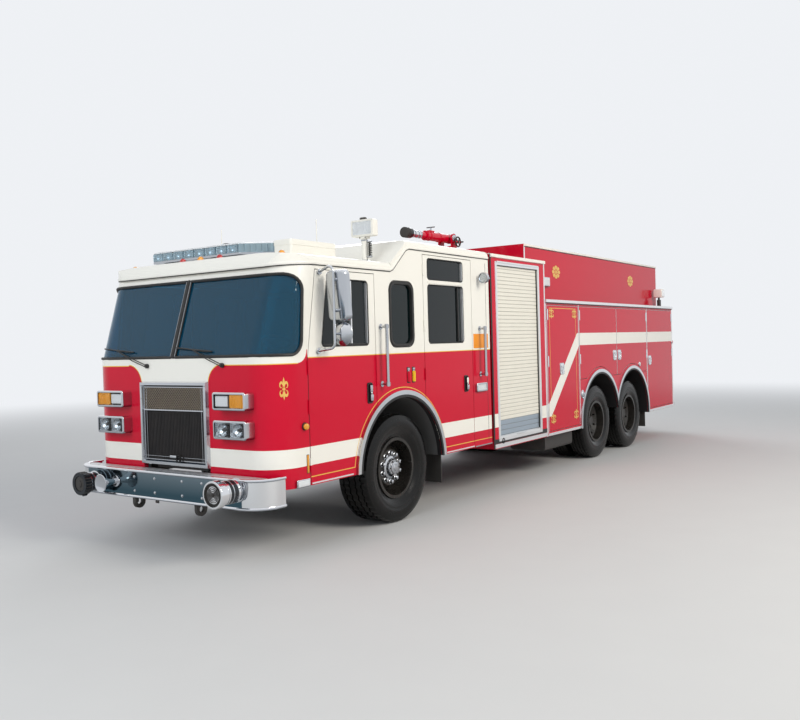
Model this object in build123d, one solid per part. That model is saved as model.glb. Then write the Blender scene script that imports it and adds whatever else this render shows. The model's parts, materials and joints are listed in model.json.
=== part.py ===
from build123d import *
import os
from math import cos, radians, sin

os.makedirs("parts", exist_ok=True)

# A custom-cab fire engine with a tandem rear axle, in millimetres.
# Stations are Y values measured from the flat face of the cab, positive to the rear.
# +X is the driver's (left) side, +Z is up, and the tyres stand on Z = 0.
# Every piece is moved by -ORIGIN_STATION when it is written, so that the row's
# origin lies under the middle of the vehicle.

# Driving sizes of the whole vehicle
HALF_WIDTH = 1230.0
SIREN_FRONT = -460.0
TAIL_END = 10840.0
ORIGIN_STATION = (SIREN_FRONT + TAIL_END) / 2

# Cab shell
CAB_BOTTOM = 585.0
CAB_REAR = 3640.0
CAB_WALL = 50.0
WAIST = 1700.0
CORNER_RADIUS = 300.0
EAVE = 2486.0
EAVE_SETBACK = 255.0
EAVE_CORNER_RADIUS = 260.0
BROW_OVERHANG = 30.0
ROOF_EDGE_RISE = 50.0
ROOF_EDGE_INSET = 80.0
ROOF_EDGE_TOP = 95.0
CUT_INNER = HALF_WIDTH - 130
CUT_OUTER = HALF_WIDTH + 70
ROOF_CROWN = 150.0
PLAN_MARGIN = 3.0
RAISED_FRONT = 1690.0
RAISED_SLOPE_RUN = 290.0
RAISED_EAVE = 2727.0
RAISED_CROWN = 130.0
FLOOR_TOP = 1200.0
FLOOR_PLATE = 40.0
SHEET = 20.0
TUNNEL_HALF = 470.0
TUNNEL_TOP = 1600.0
TUNNEL_REAR = 3000.0
WHEEL_BOX_INNER = 440.0
STEP_WELL_INNER = 740.0
STEP_WELL_BOTTOM = 600.0
STEP_WELL_SPANS = ((420.0, 1065.0), (2595.0, 3240.0))
WINDSHIELD_LOW = 1715.0
WINDSHIELD_HIGH = 2405.0
WINDSHIELD_EDGE_LOW = 340.0
WINDSHIELD_EDGE_HIGH = 400.0
WINDSHIELD_CORNER = 130.0
DIVIDER_HALF = 26.0
GLASS = 8.0
GLASS_CLEARANCE = 0.3

# Wheels and axles
TYRE_RADIUS = 540.0
RIM_SEAT = 286.0
RIM_WALL = 12.0
FLANGE_RADIUS = 304.0
TYRE_FACE = 1175.0
FRONT_TYRE_WIDTH = 385.0
REAR_TYRE_WIDTH = 285.0
DUAL_SPACING = 325.0
FRONT_AXLE = 1830.0
REAR_AXLES = (6990.0, 8360.0)
KINGPIN_X = 830.0
KINGPIN_RADIUS = 24.0
SPINDLE_RADIUS = 45.0
RUNNING_CLEARANCE = 0.3
ARCH_RADIUS = 700.0
ARCH_CENTRE = 550.0
ARCH_TRIM = 70.0
HAND_HOLE_COUNT = 10
HAND_HOLE_RADIUS = 16.0
HAND_HOLE_CIRCLE = 238.0

# Bumper
BUMPER_FRONT = -200.0
BUMPER_LOW = 455.0
BUMPER_HIGH = 710.0
BUMPER_WRAP = 100.0
BUMPER_SHEET = 10.0
BUMPER_LIP = 34.0
BUMPER_CORNER = 230.0

# Chassis
RAIL_BOTTOM = 660.0
RAIL_TOP = 920.0
RAIL_OUTER = 430.0
RAIL_ROOM = 20.0
RAIL_FLANGE = 85.0
RAIL_WEB = 12.0
RAIL_FRONT = 62.0
EXTENSION_FRONT = BUMPER_FRONT + BUMPER_SHEET
EXTENSION_LOW = 530.0
EXTENSION_HIGH = 690.0
TOW_EYE_RADIUS = 28.0
TOW_EYE_Z = 400.0
EYE_PLATE = 30.0
EYE_RADIUS = 60.0
FRONT_EYE_STATION = BUMPER_FRONT + BUMPER_LIP + EYE_RADIUS + 10
REAR_EYE_STATION = 10350.0
RAIL_REAR = 10430.0
CROSSBEAM_HEIGHT = 60.0

# Pump house
PUMP_FRONT = 3700.0
PUMP_REAR = 5130.0
PUMP_BOTTOM = 505.0
PUMP_TOP = 2805.0
SHUTTER_FRONT = 3840.0
SHUTTER_REAR = 4945.0
SHUTTER_LOW = 620.0
SHUTTER_HIGH = 2690.0
PANEL = 40.0

# Body and hose bed
BODY_REAR = 10472.0
BODY_BOTTOM = 505.0
LEDGE = 2300.0
LOCKER_INNER = 600.0
BODY_WALL = 40.0
BODY_DOOR = 45.0
DOOR_LOW = 560.0
DOOR_HIGH = 2240.0
BED_HALF = 950.0
BED_TOP = 3060.0
BED_FLOOR = 2340.0
BED_REAR_WALL = 2760.0
TANK_HALF = 540.0
TANK_REAR = 9200.0

# Doors
DOOR_GAP = 7.0
DOOR_SEAT = 1.0
HINGE_RADIUS = 8.0
LEAF = 4.0
LEAF_WIDTH = 34.0
LIP_WIDTH = 5.0
LOCKER_LIP = 30.0
FRONT_DOOR_EDGES = (420.0, 1410.0)
CREW_DOOR_EDGES = (2250.0, 3240.0)
FRONT_DOOR_TOP = EAVE - 31
CREW_DOOR_TOP = RAISED_EAVE - 27


def block(x0, x1, y0, y1, z0, z1):
    """A box between two corners."""
    return Pos((x0 + x1) / 2, (y0 + y1) / 2, (z0 + z1) / 2) * Box(x1 - x0, y1 - y0, z1 - z0)


def across(outline, x0, x1):
    """Extrude a side-view face, drawn as (station, height), from x0 to x1."""
    return extrude(Plane.YZ.offset(x0) * outline, x1 - x0, dir=(1, 0, 0))


def along(outline, y0, y1):
    """Extrude a front-view face, drawn as (x, height), from station y0 to y1."""
    plane = Plane(origin=(0, y1, 0), x_dir=(1, 0, 0), z_dir=(0, -1, 0))
    return extrude(plane * outline, y1 - y0, dir=(0, -1, 0))


def upward(outline, z0, z1):
    """Extrude a plan-view face, drawn as (x, station), from z0 to z1."""
    return extrude(Pos(0, 0, z0) * outline, z1 - z0, dir=(0, 0, 1))


def polygon(*points):
    return Polygon(*points, align=None)


def rounded(x0, x1, y0, y1, radius):
    """A rectangle with rounded corners, by its limits."""
    return Pos((x0 + x1) / 2, (y0 + y1) / 2) * RectangleRounded(x1 - x0, y1 - y0, radius)


def disc_x(radius, x0, x1, y, z):
    """A cylinder along X."""
    return Pos((x0 + x1) / 2, y, z) * Rot(0, 90, 0) * Cylinder(radius, x1 - x0)


def disc_y(radius, y0, y1, x, z):
    """A cylinder along Y."""
    return Pos(x, (y0 + y1) / 2, z) * Rot(90, 0, 0) * Cylinder(radius, y1 - y0)


def disc_z(radius, z0, z1, x, y):
    """A cylinder along Z."""
    return Pos(x, y, (z0 + z1) / 2) * Cylinder(radius, z1 - z0)


def rod(start, end, radius):
    """A round bar between two points."""
    path = Line(start, end)
    return sweep(Plane(origin=start, z_dir=path % 0) * Circle(radius), path=path)


def bent_bar(points, bend, radius):
    """A round bar along points, with one bend radius at its corners."""
    path = FilletPolyline(*points, radius=bend)
    return sweep(Plane(origin=points[0], z_dir=path % 0) * Circle(radius), path=path)


def mirrored(shape):
    return mirror(shape, about=Plane.YZ)


def both(shape):
    """The piece and its mirror image on the other side."""
    return Compound(children=[*shape.solids(), *mirrored(shape).solids()])


def group(*shapes):
    """Separate solids of one node."""
    return Compound(children=[solid for shape in shapes for solid in shape.solids()])


def write(name, shape):
    export_step(Pos(0, -ORIGIN_STATION, 0) * shape, f"parts/{name}.step")


# Cab forms

def cab_plan(front, radius, inset):
    """The cab's outline seen from above, with its front corners rounded."""
    half = HALF_WIDTH - inset
    rear = CAB_REAR - inset
    face = Pos(0, (front + inset + rear) / 2) * Rectangle(2 * half, rear - front - inset)
    corners = face.vertices().sort_by(Axis.Y)[:2]
    return fillet(corners, radius - inset)


def roof_section(eave, crown, inset):
    """The roof seen from the front: a rounded edge on each side and a slight crown."""
    half = HALF_WIDTH - inset
    edge = half - ROOF_EDGE_INSET
    side = eave + ROOF_EDGE_RISE - inset
    top = eave + ROOF_EDGE_TOP - inset
    base = eave - 60
    mid = (half - ROOF_EDGE_INSET * 0.3, side + (top - side) * 0.75)
    lines = [
        Line((-half, base), (half, base)),
        Line((half, base), (half, side)),
        ThreePointArc((half, side), mid, (edge, top)),
        ThreePointArc((edge, top), (0, eave + crown - inset), (-edge, top)),
        ThreePointArc((-edge, top), (-mid[0], mid[1]), (-half, side)),
        Line((-half, side), (-half, base)),
    ]
    return make_face(lines)


def window_zone(inset):
    """The leaning part of the cab between the waist and the eaves."""
    return loft([Pos(0, 0, WAIST) * cab_plan(0, CORNER_RADIUS, inset),
                 Pos(0, 0, EAVE) * cab_plan(EAVE_SETBACK, EAVE_CORNER_RADIUS, inset)])


def cab_form(inset):
    """The cab as a solid, with every outer face moved in by inset."""
    lower = upward(cab_plan(0, CORNER_RADIUS, inset), CAB_BOTTOM - inset, WAIST)
    middle = window_zone(inset)
    nose = EAVE_SETBACK - BROW_OVERHANG + inset
    base = EAVE - 12 - inset
    rear = RAISED_FRONT + 400
    top = EAVE + ROOF_CROWN + 10 - inset
    low_side = make_face([
        Line((nose, base), (nose, EAVE + 15 - inset)),
        ThreePointArc((nose, EAVE + 15 - inset), (nose + 38, EAVE + 88 - inset), (nose + 130, EAVE + 128 - inset)),
        Line((nose + 130, EAVE + 128 - inset), (nose + 420, top)),
        Line((nose + 420, top), (rear, top)),
        Line((rear, top), (rear, base)),
        Line((rear, base), (nose, base)),
    ])
    low_roof = along(roof_section(EAVE, ROOF_CROWN, inset), 0, rear)
    low_roof = low_roof & across(low_side, -HALF_WIDTH, HALF_WIDTH)
    low_roof = low_roof & upward(cab_plan(nose - inset, CORNER_RADIUS, inset - PLAN_MARGIN), base, EAVE + 400)
    slope_end = RAISED_FRONT + RAISED_SLOPE_RUN
    raised_side = polygon(
        (RAISED_FRONT + inset, base), (RAISED_FRONT + inset, EAVE + ROOF_EDGE_TOP - inset),
        (slope_end + inset, RAISED_EAVE + ROOF_EDGE_TOP - inset),
        (slope_end + 140 + inset, RAISED_EAVE + RAISED_CROWN + 10 - inset),
        (CAB_REAR - inset, RAISED_EAVE + RAISED_CROWN + 10 - inset), (CAB_REAR - inset, base))
    raised = along(roof_section(RAISED_EAVE, RAISED_CROWN, inset), RAISED_FRONT, CAB_REAR)
    raised = raised + block(-HALF_WIDTH + inset, HALF_WIDTH - inset, RAISED_FRONT, CAB_REAR,
                            base, RAISED_EAVE - inset)
    raised = raised & across(raised_side, -HALF_WIDTH, HALF_WIDTH)
    return lower + middle + low_roof + raised


def front_door_outline(inset):
    """Side view of the front door; its front edge leans back above the waist."""
    front, rear = FRONT_DOOR_EDGES
    return polygon(
        (front + inset, CAB_BOTTOM), (front + inset, 1690), (front + 125 + inset, FRONT_DOOR_TOP - inset),
        (rear - inset, FRONT_DOOR_TOP - inset), (rear - inset, CAB_BOTTOM))


def crew_door_outline(inset):
    front, rear = CREW_DOOR_EDGES
    return polygon((front + inset, CAB_BOTTOM), (front + inset, CREW_DOOR_TOP - inset),
                   (rear - inset, CREW_DOOR_TOP - inset), (rear - inset, CAB_BOTTOM))


def front_window():
    return fillet(polygon((610, 1775), (705, 2378), (1300, 2378), (1300, 1775)).vertices(), 35)


def crew_windows():
    low = fillet(polygon((2337, 1774), (2337, 2390), (3053, 2390), (3053, 1774)).vertices(), 35)
    high = fillet(polygon((2337, 2440), (2337, 2663), (3053, 2663), (3053, 2440)).vertices(), 35)
    return low, high


def fixed_window():
    return rounded(1670, 2040, 1775, 2376, 80)


def windshield_band(inset):
    """Side view of the windshield's reach, from the nose round to the front door."""
    low = WINDSHIELD_LOW + inset
    high = WINDSHIELD_HIGH - inset
    edge_low = WINDSHIELD_EDGE_LOW - inset
    edge_high = WINDSHIELD_EDGE_HIGH - inset
    face = polygon((-60, low), (edge_low, low), (edge_high, high), (-60, high))
    return fillet(face.vertices().sort_by(Axis.X)[2:], WINDSHIELD_CORNER)


# Grille
GRILLE_HALF = 450.0
GRILLE_LOW = 735.0
GRILLE_HIGH = 1500.0
GRILLE_RIM = 40.0
GRILLE_BAR = 1240.0
GRILLE_PROUD = 30.0
MESH_PITCH = 90.0
MESH_STRAND = 9.0


def cab_shell():
    shell = cab_form(0) - cab_form(CAB_WALL)
    shell = shell - block(-GRILLE_HALF + 5, GRILLE_HALF - 5, -10, CAB_WALL + 10, 500, GRILLE_LOW + 5)
    band = across(windshield_band(0), -HALF_WIDTH - 10, HALF_WIDTH + 10)
    band = band - block(-DIVIDER_HALF, DIVIDER_HALF, -100, 600, 1600, 2500)
    shell = shell - band
    arch = disc_x(ARCH_RADIUS, 400, CUT_OUTER, FRONT_AXLE, ARCH_CENTRE)
    lip = disc_x(ARCH_RADIUS + ARCH_TRIM + LIP_WIDTH, 400, CUT_OUTER, FRONT_AXLE, ARCH_CENTRE)
    side = across(front_door_outline(0), CUT_INNER, CUT_OUTER) - lip
    side += across(crew_door_outline(0), CUT_INNER, CUT_OUTER) - lip
    side += across(fixed_window(), CUT_INNER, CUT_OUTER)
    side += arch
    side += block(CUT_INNER, CUT_OUTER, *STEP_WELL_SPANS[0], CAB_BOTTOM - 50, CAB_BOTTOM + 5)
    side += block(CUT_INNER, CUT_OUTER, *STEP_WELL_SPANS[1], CAB_BOTTOM - 50, CAB_BOTTOM + 5)
    shell = shell - side - mirrored(side)
    opening = GRILLE_HALF - GRILLE_RIM
    shell = shell - block(-opening, opening, -60, 100, GRILLE_LOW + GRILLE_RIM, GRILLE_HIGH - GRILLE_RIM)
    rail_way = RAIL_OUTER + RAIL_ROOM
    return shell - block(-rail_way, rail_way, CAB_REAR - CAB_WALL - 10, CAB_REAR + 10, CAB_BOTTOM - 5,
                         RAIL_TOP + RAIL_ROOM)


def cab_floor():
    """Floor, engine tunnel, wheel boxes and step wells in one welding."""
    inner = HALF_WIDTH - CAB_WALL
    plate = block(-inner, inner, CAB_WALL, CAB_REAR - CAB_WALL, FLOOR_TOP - FLOOR_PLATE, FLOOR_TOP)
    tunnel = block(-TUNNEL_HALF, TUNNEL_HALF, CAB_WALL, TUNNEL_REAR, FLOOR_TOP - FLOOR_PLATE, TUNNEL_TOP)
    hollow = block(-TUNNEL_HALF + SHEET, TUNNEL_HALF - SHEET, CAB_WALL, TUNNEL_REAR - SHEET,
                   FLOOR_TOP - FLOOR_PLATE - 1, TUNNEL_TOP - SHEET)
    outer_box = disc_x(ARCH_RADIUS + SHEET, WHEEL_BOX_INNER, inner, FRONT_AXLE, ARCH_CENTRE)
    inner_box = disc_x(ARCH_RADIUS, WHEEL_BOX_INNER + SHEET, inner + 10, FRONT_AXLE, ARCH_CENTRE)
    low_side = block(400, 1300, 800, 3000, -300, CAB_BOTTOM)
    outer_box = outer_box - low_side
    wells = []
    hollows = [inner_box]
    for front, rear in STEP_WELL_SPANS:
        wells.append(block(STEP_WELL_INNER, inner, front - SHEET, rear + SHEET, STEP_WELL_BOTTOM, FLOOR_TOP))
        hollows.append(block(STEP_WELL_INNER + SHEET, inner + 10, front, rear,
                             STEP_WELL_BOTTOM + 30, FLOOR_TOP + 10))
    solid = outer_box
    for well in wells:
        solid += well
    cut = hollows[0]
    for hollow_space in hollows[1:]:
        cut += hollow_space
    floor = plate + tunnel + solid + mirrored(solid)
    floor = floor - hollow - cut - mirrored(cut)
    floor = floor & cab_form(CAB_WALL)
    doorway = across(front_door_outline(0), inner - DOOR_SEAT, inner + 10)
    doorway += across(crew_door_outline(0), inner - DOOR_SEAT, inner + 10)
    floor = floor - doorway - mirrored(doorway)
    for front, rear in STEP_WELL_SPANS:
        step = block(STEP_WELL_INNER + SHEET - 1, 960, front - 1, rear + 1, 900, 930)
        floor = floor + step + mirrored(step)
    return floor


def cab_glass():
    post = DIVIDER_HALF + GLASS_CLEARANCE
    band = across(windshield_band(GLASS_CLEARANCE), post, HALF_WIDTH + 10)
    windshield = (window_zone(GLASS) & band) - window_zone(2 * GLASS)
    side = across(offset(fixed_window(), -GLASS_CLEARANCE), HALF_WIDTH - 30, HALF_WIDTH - 30 + GLASS)
    return group(both(windshield), both(side))


# Seats: x, station of the back's rear face, and +1 facing the front or -1 facing the rear
SEATS = ((820, 1560, 1), (-820, 1560, 1), (820, 1720, -1), (-820, 1720, -1),
         (820, 3560, 1), (-820, 3560, 1))
SEAT_HALF = 235.0
SEAT_TOP = 1640.0
SEAT_DEPTH = 440.0
SEAT_BACK = 110.0
SEAT_BACK_TOP = 2330.0


def seats():
    pieces = []
    for x, station, facing in SEATS:
        low = SEAT_TOP - 130
        side = polygon((0, low), (SEAT_BACK + SEAT_DEPTH, low), (SEAT_BACK + SEAT_DEPTH, SEAT_TOP),
                       (SEAT_BACK, SEAT_TOP), (SEAT_BACK - 30, SEAT_BACK_TOP), (0, SEAT_BACK_TOP))
        seat = across(fillet(side.vertices(), 25), x - SEAT_HALF, x + SEAT_HALF)
        base_low = FLOOR_TOP if facing > 0 else ARCH_CENTRE + ARCH_RADIUS + SHEET
        base = block(x - 170, x + 170, SEAT_BACK + 20, SEAT_BACK + 200, base_low, low)
        seat = seat + base
        if facing > 0:
            seat = mirror(seat, about=Plane.XZ)
        pieces.append(Pos(0, station, 0) * seat)
    return group(*pieces)


STEERING_CENTRE = (760.0, 640.0, 1760.0)
STEERING_TILT = -35.0


def cab_interior():
    """Dashboard, instrument hood, steering column and wheel."""
    dash_side = polygon((CAB_WALL, 1300), (CAB_WALL, 1700), (300, 1700), (430, 1640), (430, 1480), (330, 1300))
    dash = across(dash_side, -1120, 1120)
    dash = dash & upward(cab_plan(0, CORNER_RADIUS, CAB_WALL), 1200, 1800)
    dash = dash - block(-TUNNEL_HALF, TUNNEL_HALF, 0, 500, 1200, TUNNEL_TOP)
    column = rod((STEERING_CENTRE[0], 380, 1500), STEERING_CENTRE, 28)
    place = Pos(*STEERING_CENTRE) * Rot(STEERING_TILT, 0, 0)
    wheel = place * Torus(215, 15)
    for angle in (90, 210, 330):
        spoke = Pos(110 * cos(radians(angle)), 110 * sin(radians(angle)), 0) * Rot(0, 0, angle) * Box(200, 30, 12)
        wheel += place * spoke
    wheel += place * Cylinder(60, 30)
    return dash + column + wheel


def grille():
    """Chrome frame with a cross bar, and the slanted mesh in both halves."""
    opening = GRILLE_HALF - GRILLE_RIM
    rim = rounded(-GRILLE_HALF, GRILLE_HALF, GRILLE_LOW, GRILLE_HIGH, 30)
    rim = rim - rounded(-opening + 10, opening - 10, GRILLE_LOW + GRILLE_RIM + 10, GRILLE_HIGH - GRILLE_RIM - 10, 12)
    frame = along(rim, -GRILLE_PROUD, 0)
    frame += block(-opening, opening, -GRILLE_PROUD + 5, -5, GRILLE_BAR - 12, GRILLE_BAR + 12)
    edge = opening - 8
    low, high = GRILLE_LOW + GRILLE_RIM + 8, GRILLE_HIGH - GRILLE_RIM - 8
    cell = Rot(0, 0, 45) * Rectangle(MESH_PITCH / 2 ** 0.5 - MESH_STRAND, MESH_PITCH / 2 ** 0.5 - MESH_STRAND)
    columns = int(2 * edge / MESH_PITCH)
    rows = int((high - low) / MESH_PITCH)
    cells = []
    for row in range(2 * rows - 1):
        for column in range(columns - row % 2):
            x = (column + row % 2 / 2 - (columns - 1) / 2) * MESH_PITCH
            z = (low + high) / 2 + (row / 2 - (rows - 1) / 2) * MESH_PITCH
            cells.append(Pos(x, z) * cell)
    screen = rounded(-edge - 10, edge + 10, low - 10, high + 10, 5) - cells
    return frame + along(screen, -16, -10)


# Lamps on the front: inner x, outer x, low z, high z
BEZELS = ((600, 990, 1260, 1415), (600, 990, 1015, 1176))
BEZEL_DEPTH = 105.0
LENS_RECESS = 12.0
BEZEL_RIM = 18.0


# Lamps on both sides of the cab: front station, rear station, low z, high z
SIDE_LAMPS = ((3270, 3510, 1210, 1310),)
SIDE_LAMP_DEPTH = 34.0

# Lamp stacks on the rear wall: inner x, outer x, low z, high z
REAR_LAMPS = ((1030, 1190, 980, 1110), (1030, 1190, 1130, 1260), (1030, 1190, 1280, 1410))
REAR_LAMP_DEPTH = 30.0

# Marker lamps along the front of the roof: x, station, z of the middle
OUTER_MARKER_X = HALF_WIDTH - 240
ROOF_MARKERS = ((-OUTER_MARKER_X, 400, EAVE + ROOF_EDGE_TOP), (-250, 370, EAVE + 114), (0, 365, EAVE + 114),
                (250, 370, EAVE + 114), (OUTER_MARKER_X, 400, EAVE + ROOF_EDGE_TOP))
MARKER_RADIUS = 36.0
MARKER_HEIGHT = 46.0

# Floodlights on the cab's rear corners: station, z
FLOODLIGHT = (3400.0, 2500.0)
FLOODLIGHT_RADIUS = 62.0
FLOODLIGHT_X = HALF_WIDTH + 85


def floodlight():
    """Round lamp on a bent arm, facing forwards."""
    station, z = FLOODLIGHT
    lamp = disc_y(FLOODLIGHT_RADIUS, station - 40, station + 20, FLOODLIGHT_X, z)
    lamp = fillet(lamp.edges().filter_by(GeomType.CIRCLE).sort_by(Axis.Y)[-1:], 24)
    lamp = lamp - disc_y(FLOODLIGHT_RADIUS - 8, station - 45, station - 20, FLOODLIGHT_X, z)
    arm = bent_bar([(FLOODLIGHT_X, station + 10, z), (FLOODLIGHT_X, station + 130, z),
                    (HALF_WIDTH, station + 130, z)], 30, 11)
    return lamp + arm + disc_x(30, HALF_WIDTH, HALF_WIDTH + 8, station + 130, z)


def lamp_bezels():
    pieces = [floodlight()]
    for front, rear, low, high in SIDE_LAMPS:
        bezel = across(rounded(front, rear, low, high, 22), HALF_WIDTH, HALF_WIDTH + SIDE_LAMP_DEPTH)
        bezel = fillet(bezel.faces().sort_by(Axis.X)[-1].edges(), 8)
        pieces.append(bezel - across(rounded(front + 16, rear - 16, low + 16, high - 16, 12),
                                     HALF_WIDTH + 10, HALF_WIDTH + SIDE_LAMP_DEPTH + 5))
    for x_in, x_out, low, high in REAR_LAMPS:
        bezel = along(rounded(x_in, x_out, low, high, 14), BODY_REAR, BODY_REAR + REAR_LAMP_DEPTH)
        bezel = fillet(bezel.faces().sort_by(Axis.Y)[-1].edges(), 6)
        pieces.append(bezel - along(rounded(x_in + 12, x_out - 12, low + 12, high - 12, 10),
                                    BODY_REAR + 8, BODY_REAR + REAR_LAMP_DEPTH + 5))
    for x_in, x_out, low, high in BEZELS:
        body = block(x_in, x_out, -BEZEL_DEPTH, 60, low, high)
        body = fillet(body.edges().filter_by(Axis.Y), 24)
        body = fillet(body.faces().sort_by(Axis.Y)[0].edges(), 10)
        body = body - upward(cab_plan(0, CORNER_RADIUS, 0), low - 50, high + 50)
        pocket = along(rounded(x_in + BEZEL_RIM, x_out - BEZEL_RIM, low + BEZEL_RIM, high - BEZEL_RIM, 14),
                       -BEZEL_DEPTH - 5, -BEZEL_DEPTH + 40)
        pieces.append(body - pocket)
    return group(*[both(piece) for piece in pieces])


def lamp_lenses():
    """Clear lenses: headlamps, signal lamps, warning lamps and work lamps."""
    pieces = []
    for x_in, x_out, low, high in BEZELS:
        middle = (x_in + x_out) / 2
        for left, right in ((x_in + BEZEL_RIM, middle - 3), (middle + 3, x_out - BEZEL_RIM)):
            lens = along(rounded(left, right, low + BEZEL_RIM, high - BEZEL_RIM, 15),
                         -BEZEL_DEPTH + LENS_RECESS, -BEZEL_DEPTH + 40)
            pieces.append(both(lens))
    for front, rear, low, high in SIDE_LAMPS:
        lens = across(rounded(front + 16.3, rear - 16.3, low + 16.3, high - 16.3, 11.7),
                      HALF_WIDTH + 10, HALF_WIDTH + SIDE_LAMP_DEPTH - 6)
        pieces.append(both(lens))
    for x_in, x_out, low, high in REAR_LAMPS:
        lens = along(rounded(x_in + 12.3, x_out - 12.3, low + 12.3, high - 12.3, 9.7),
                     BODY_REAR + 8, BODY_REAR + REAR_LAMP_DEPTH - 5)
        pieces.append(both(lens))
    station, z = FLOODLIGHT
    pieces.append(both(disc_y(FLOODLIGHT_RADIUS - 8.3, station - 34, station - 20, FLOODLIGHT_X, z)))
    for x, station, z in ROOF_MARKERS:
        marker = Pos(x, station, z) * Cone(MARKER_RADIUS, MARKER_RADIUS / 3, 2 * MARKER_HEIGHT)
        pieces.append(marker - cab_form(0))
    return group(*pieces)


def bumper_plan(inset):
    """The bumper's outline seen from above."""
    half = HALF_WIDTH - inset
    face = Pos(0, (BUMPER_FRONT + inset + BUMPER_WRAP) / 2) * Rectangle(
        2 * half, BUMPER_WRAP - BUMPER_FRONT - inset)
    return fillet(face.vertices().sort_by(Axis.Y)[:2], BUMPER_CORNER - inset)


def bumper():
    """Wrap-round bumper: a bent channel with rolled lips."""
    skin = upward(bumper_plan(0), BUMPER_LOW, BUMPER_HIGH)
    skin = skin - upward(bumper_plan(BUMPER_LIP), BUMPER_LOW - 5, BUMPER_HIGH + 5)
    return skin - upward(bumper_plan(BUMPER_SHEET), BUMPER_LOW + 12, BUMPER_HIGH - 12)


def tread_decks():
    """Treadplate: the deck behind the bumper and the rear tailboard."""
    front = upward(bumper_plan(BUMPER_LIP), BUMPER_HIGH - 11.5, BUMPER_HIGH - 4)
    front = front - block(-HALF_WIDTH, HALF_WIDTH, -GRILLE_PROUD, 300, 600, 900)
    board = block(-1150, 1150, BODY_REAR, TAIL_END, 505, 570)
    board = fillet(board.edges().filter_by(Axis.Z).sort_by(Axis.Y)[2:], 60)
    return group(front, board)


SIREN = (960.0, 620.0, 113.0)
HORN = (-600.0, 590.0, 80.0)
INLET = (-880.0, 570.0, 90.0)


def bumper_fittings():
    """Siren, air horn and capped suction inlet in front of the bumper."""
    x, z, radius = SIREN
    siren = disc_y(radius, SIREN_FRONT, SIREN_FRONT + 60, x, z) + disc_y(radius - 14, SIREN_FRONT + 60, -240, x, z)
    siren += disc_y(radius - 45, -240, BUMPER_FRONT, x, z)
    siren = siren - disc_y(radius - 16, SIREN_FRONT - 5, SIREN_FRONT + 20, x, z)
    siren += disc_y(radius - 40, SIREN_FRONT + 8, SIREN_FRONT + 21, x, z)
    siren = fillet(siren.edges().filter_by(GeomType.CIRCLE).sort_by(Axis.Y)[:1], 6)
    x, z, radius = HORN
    throat = 24
    bell = revolve(make_face([
        Line((radius - 5, 0), (radius, 0)), ThreePointArc((radius, 0), (radius * 0.5, 60), (throat, 150)),
        Line((throat, 150), (throat, 170)), Line((throat, 170), (0, 170)), Line((0, 170), (0, 140)),
        Line((0, 140), (throat - 6, 140)),
        ThreePointArc((throat - 6, 140), (radius * 0.5 - 6, 60), (radius - 5, 0))]), Axis.Y)
    horn = Pos(x, BUMPER_FRONT - 170, z) * bell
    x, z, radius = INLET
    inlet = disc_y(radius, -330, BUMPER_FRONT, x, z) + disc_y(radius + 14, -400, -330, x, z)
    inlet = inlet - disc_y(radius - 20, -410, -380, x, z)
    for angle in (45, 165, 285):
        lug_x = x + (radius + 14) * cos(radians(angle))
        lug_z = z + (radius + 14) * sin(radians(angle))
        inlet += disc_y(15, -385, -345, lug_x, lug_z)
    return group(siren, horn, inlet)


def wipers():
    """Arms from the pivots in the panel below the glass, with their blades parked low."""
    pieces = []
    for pivot_x, blade_x in ((-330, -700), (560, 170)):
        pivot = disc_y(22, -30, 0, pivot_x, 1640)
        arm = rod((pivot_x, -24, 1640), (blade_x, 4, 1790), 8)
        blade = rod((blade_x - 230, 2, 1768), (blade_x + 230, 2, 1796), 9)
        pieces.append(pivot + arm + blade)
    return group(*pieces)


# Grab rails on the cab's sides: station, low and high z
GRAB_RAILS = ((1490, 1400, 1950), (3400, 1410, 1930))
RAIL_STANDOFF = 75.0
RAIL_TUBE = 16.0
RAIL_OVERHANG = 24.0

# Ladder on the rear wall
LADDER_SIDES = (-900.0, -560.0)
LADDER_LOW = 760.0
LADDER_HIGH = 2700.0
LADDER_STANDOFF = 110.0
LADDER_TUBE = 18.0
RUNG_STEP = 300.0


def grab_rail(station, low, high):
    """Straight tube with closed ends, held by a stanchion near each end."""
    out = HALF_WIDTH + RAIL_STANDOFF
    rail = disc_z(RAIL_TUBE, low - RAIL_OVERHANG, high + RAIL_OVERHANG, out, station)
    for z in (low, high):
        rail += disc_x(28, HALF_WIDTH, HALF_WIDTH + 8, station, z)
        rail += disc_x(12, HALF_WIDTH + 7, out, station, z)
        rail += disc_z(RAIL_TUBE + 6, z - 18, z + 18, out, station)
    return rail


def rails_and_ladder():
    pieces = []
    for station, low, high in GRAB_RAILS:
        pieces.append(both(grab_rail(station, low, high)))
    rung_y = BODY_REAR + LADDER_STANDOFF
    ladder = None
    for x in LADDER_SIDES:
        side = bent_bar([(x, BODY_REAR, LADDER_LOW), (x, rung_y, LADDER_LOW), (x, rung_y, LADDER_HIGH),
                         (x, BODY_REAR, LADDER_HIGH)], 60, LADDER_TUBE)
        ladder = side if ladder is None else ladder + side
    for step in range(6):
        ladder += disc_x(14, *LADDER_SIDES, rung_y, LADDER_LOW + 100 + RUNG_STEP * step)
    pieces.append(ladder)
    return group(*pieces)


def lightbar():
    """Light bar across the roof, its driver's end swept back."""
    bar_plan = polygon((-930, 560), (300, 560), (600, 800), (600, 1090), (440, 1090), (240, 850), (-930, 850))
    bar = upward(bar_plan, 2655, 2765)
    bar = fillet(bar.edges().filter_by(Axis.Z), 30)
    feet = block(-800, -700, 620, 790, 2560, 2656)
    feet += block(100, 200, 620, 790, 2560, 2656)
    feet = feet - cab_form(0)
    return bar + feet


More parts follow.
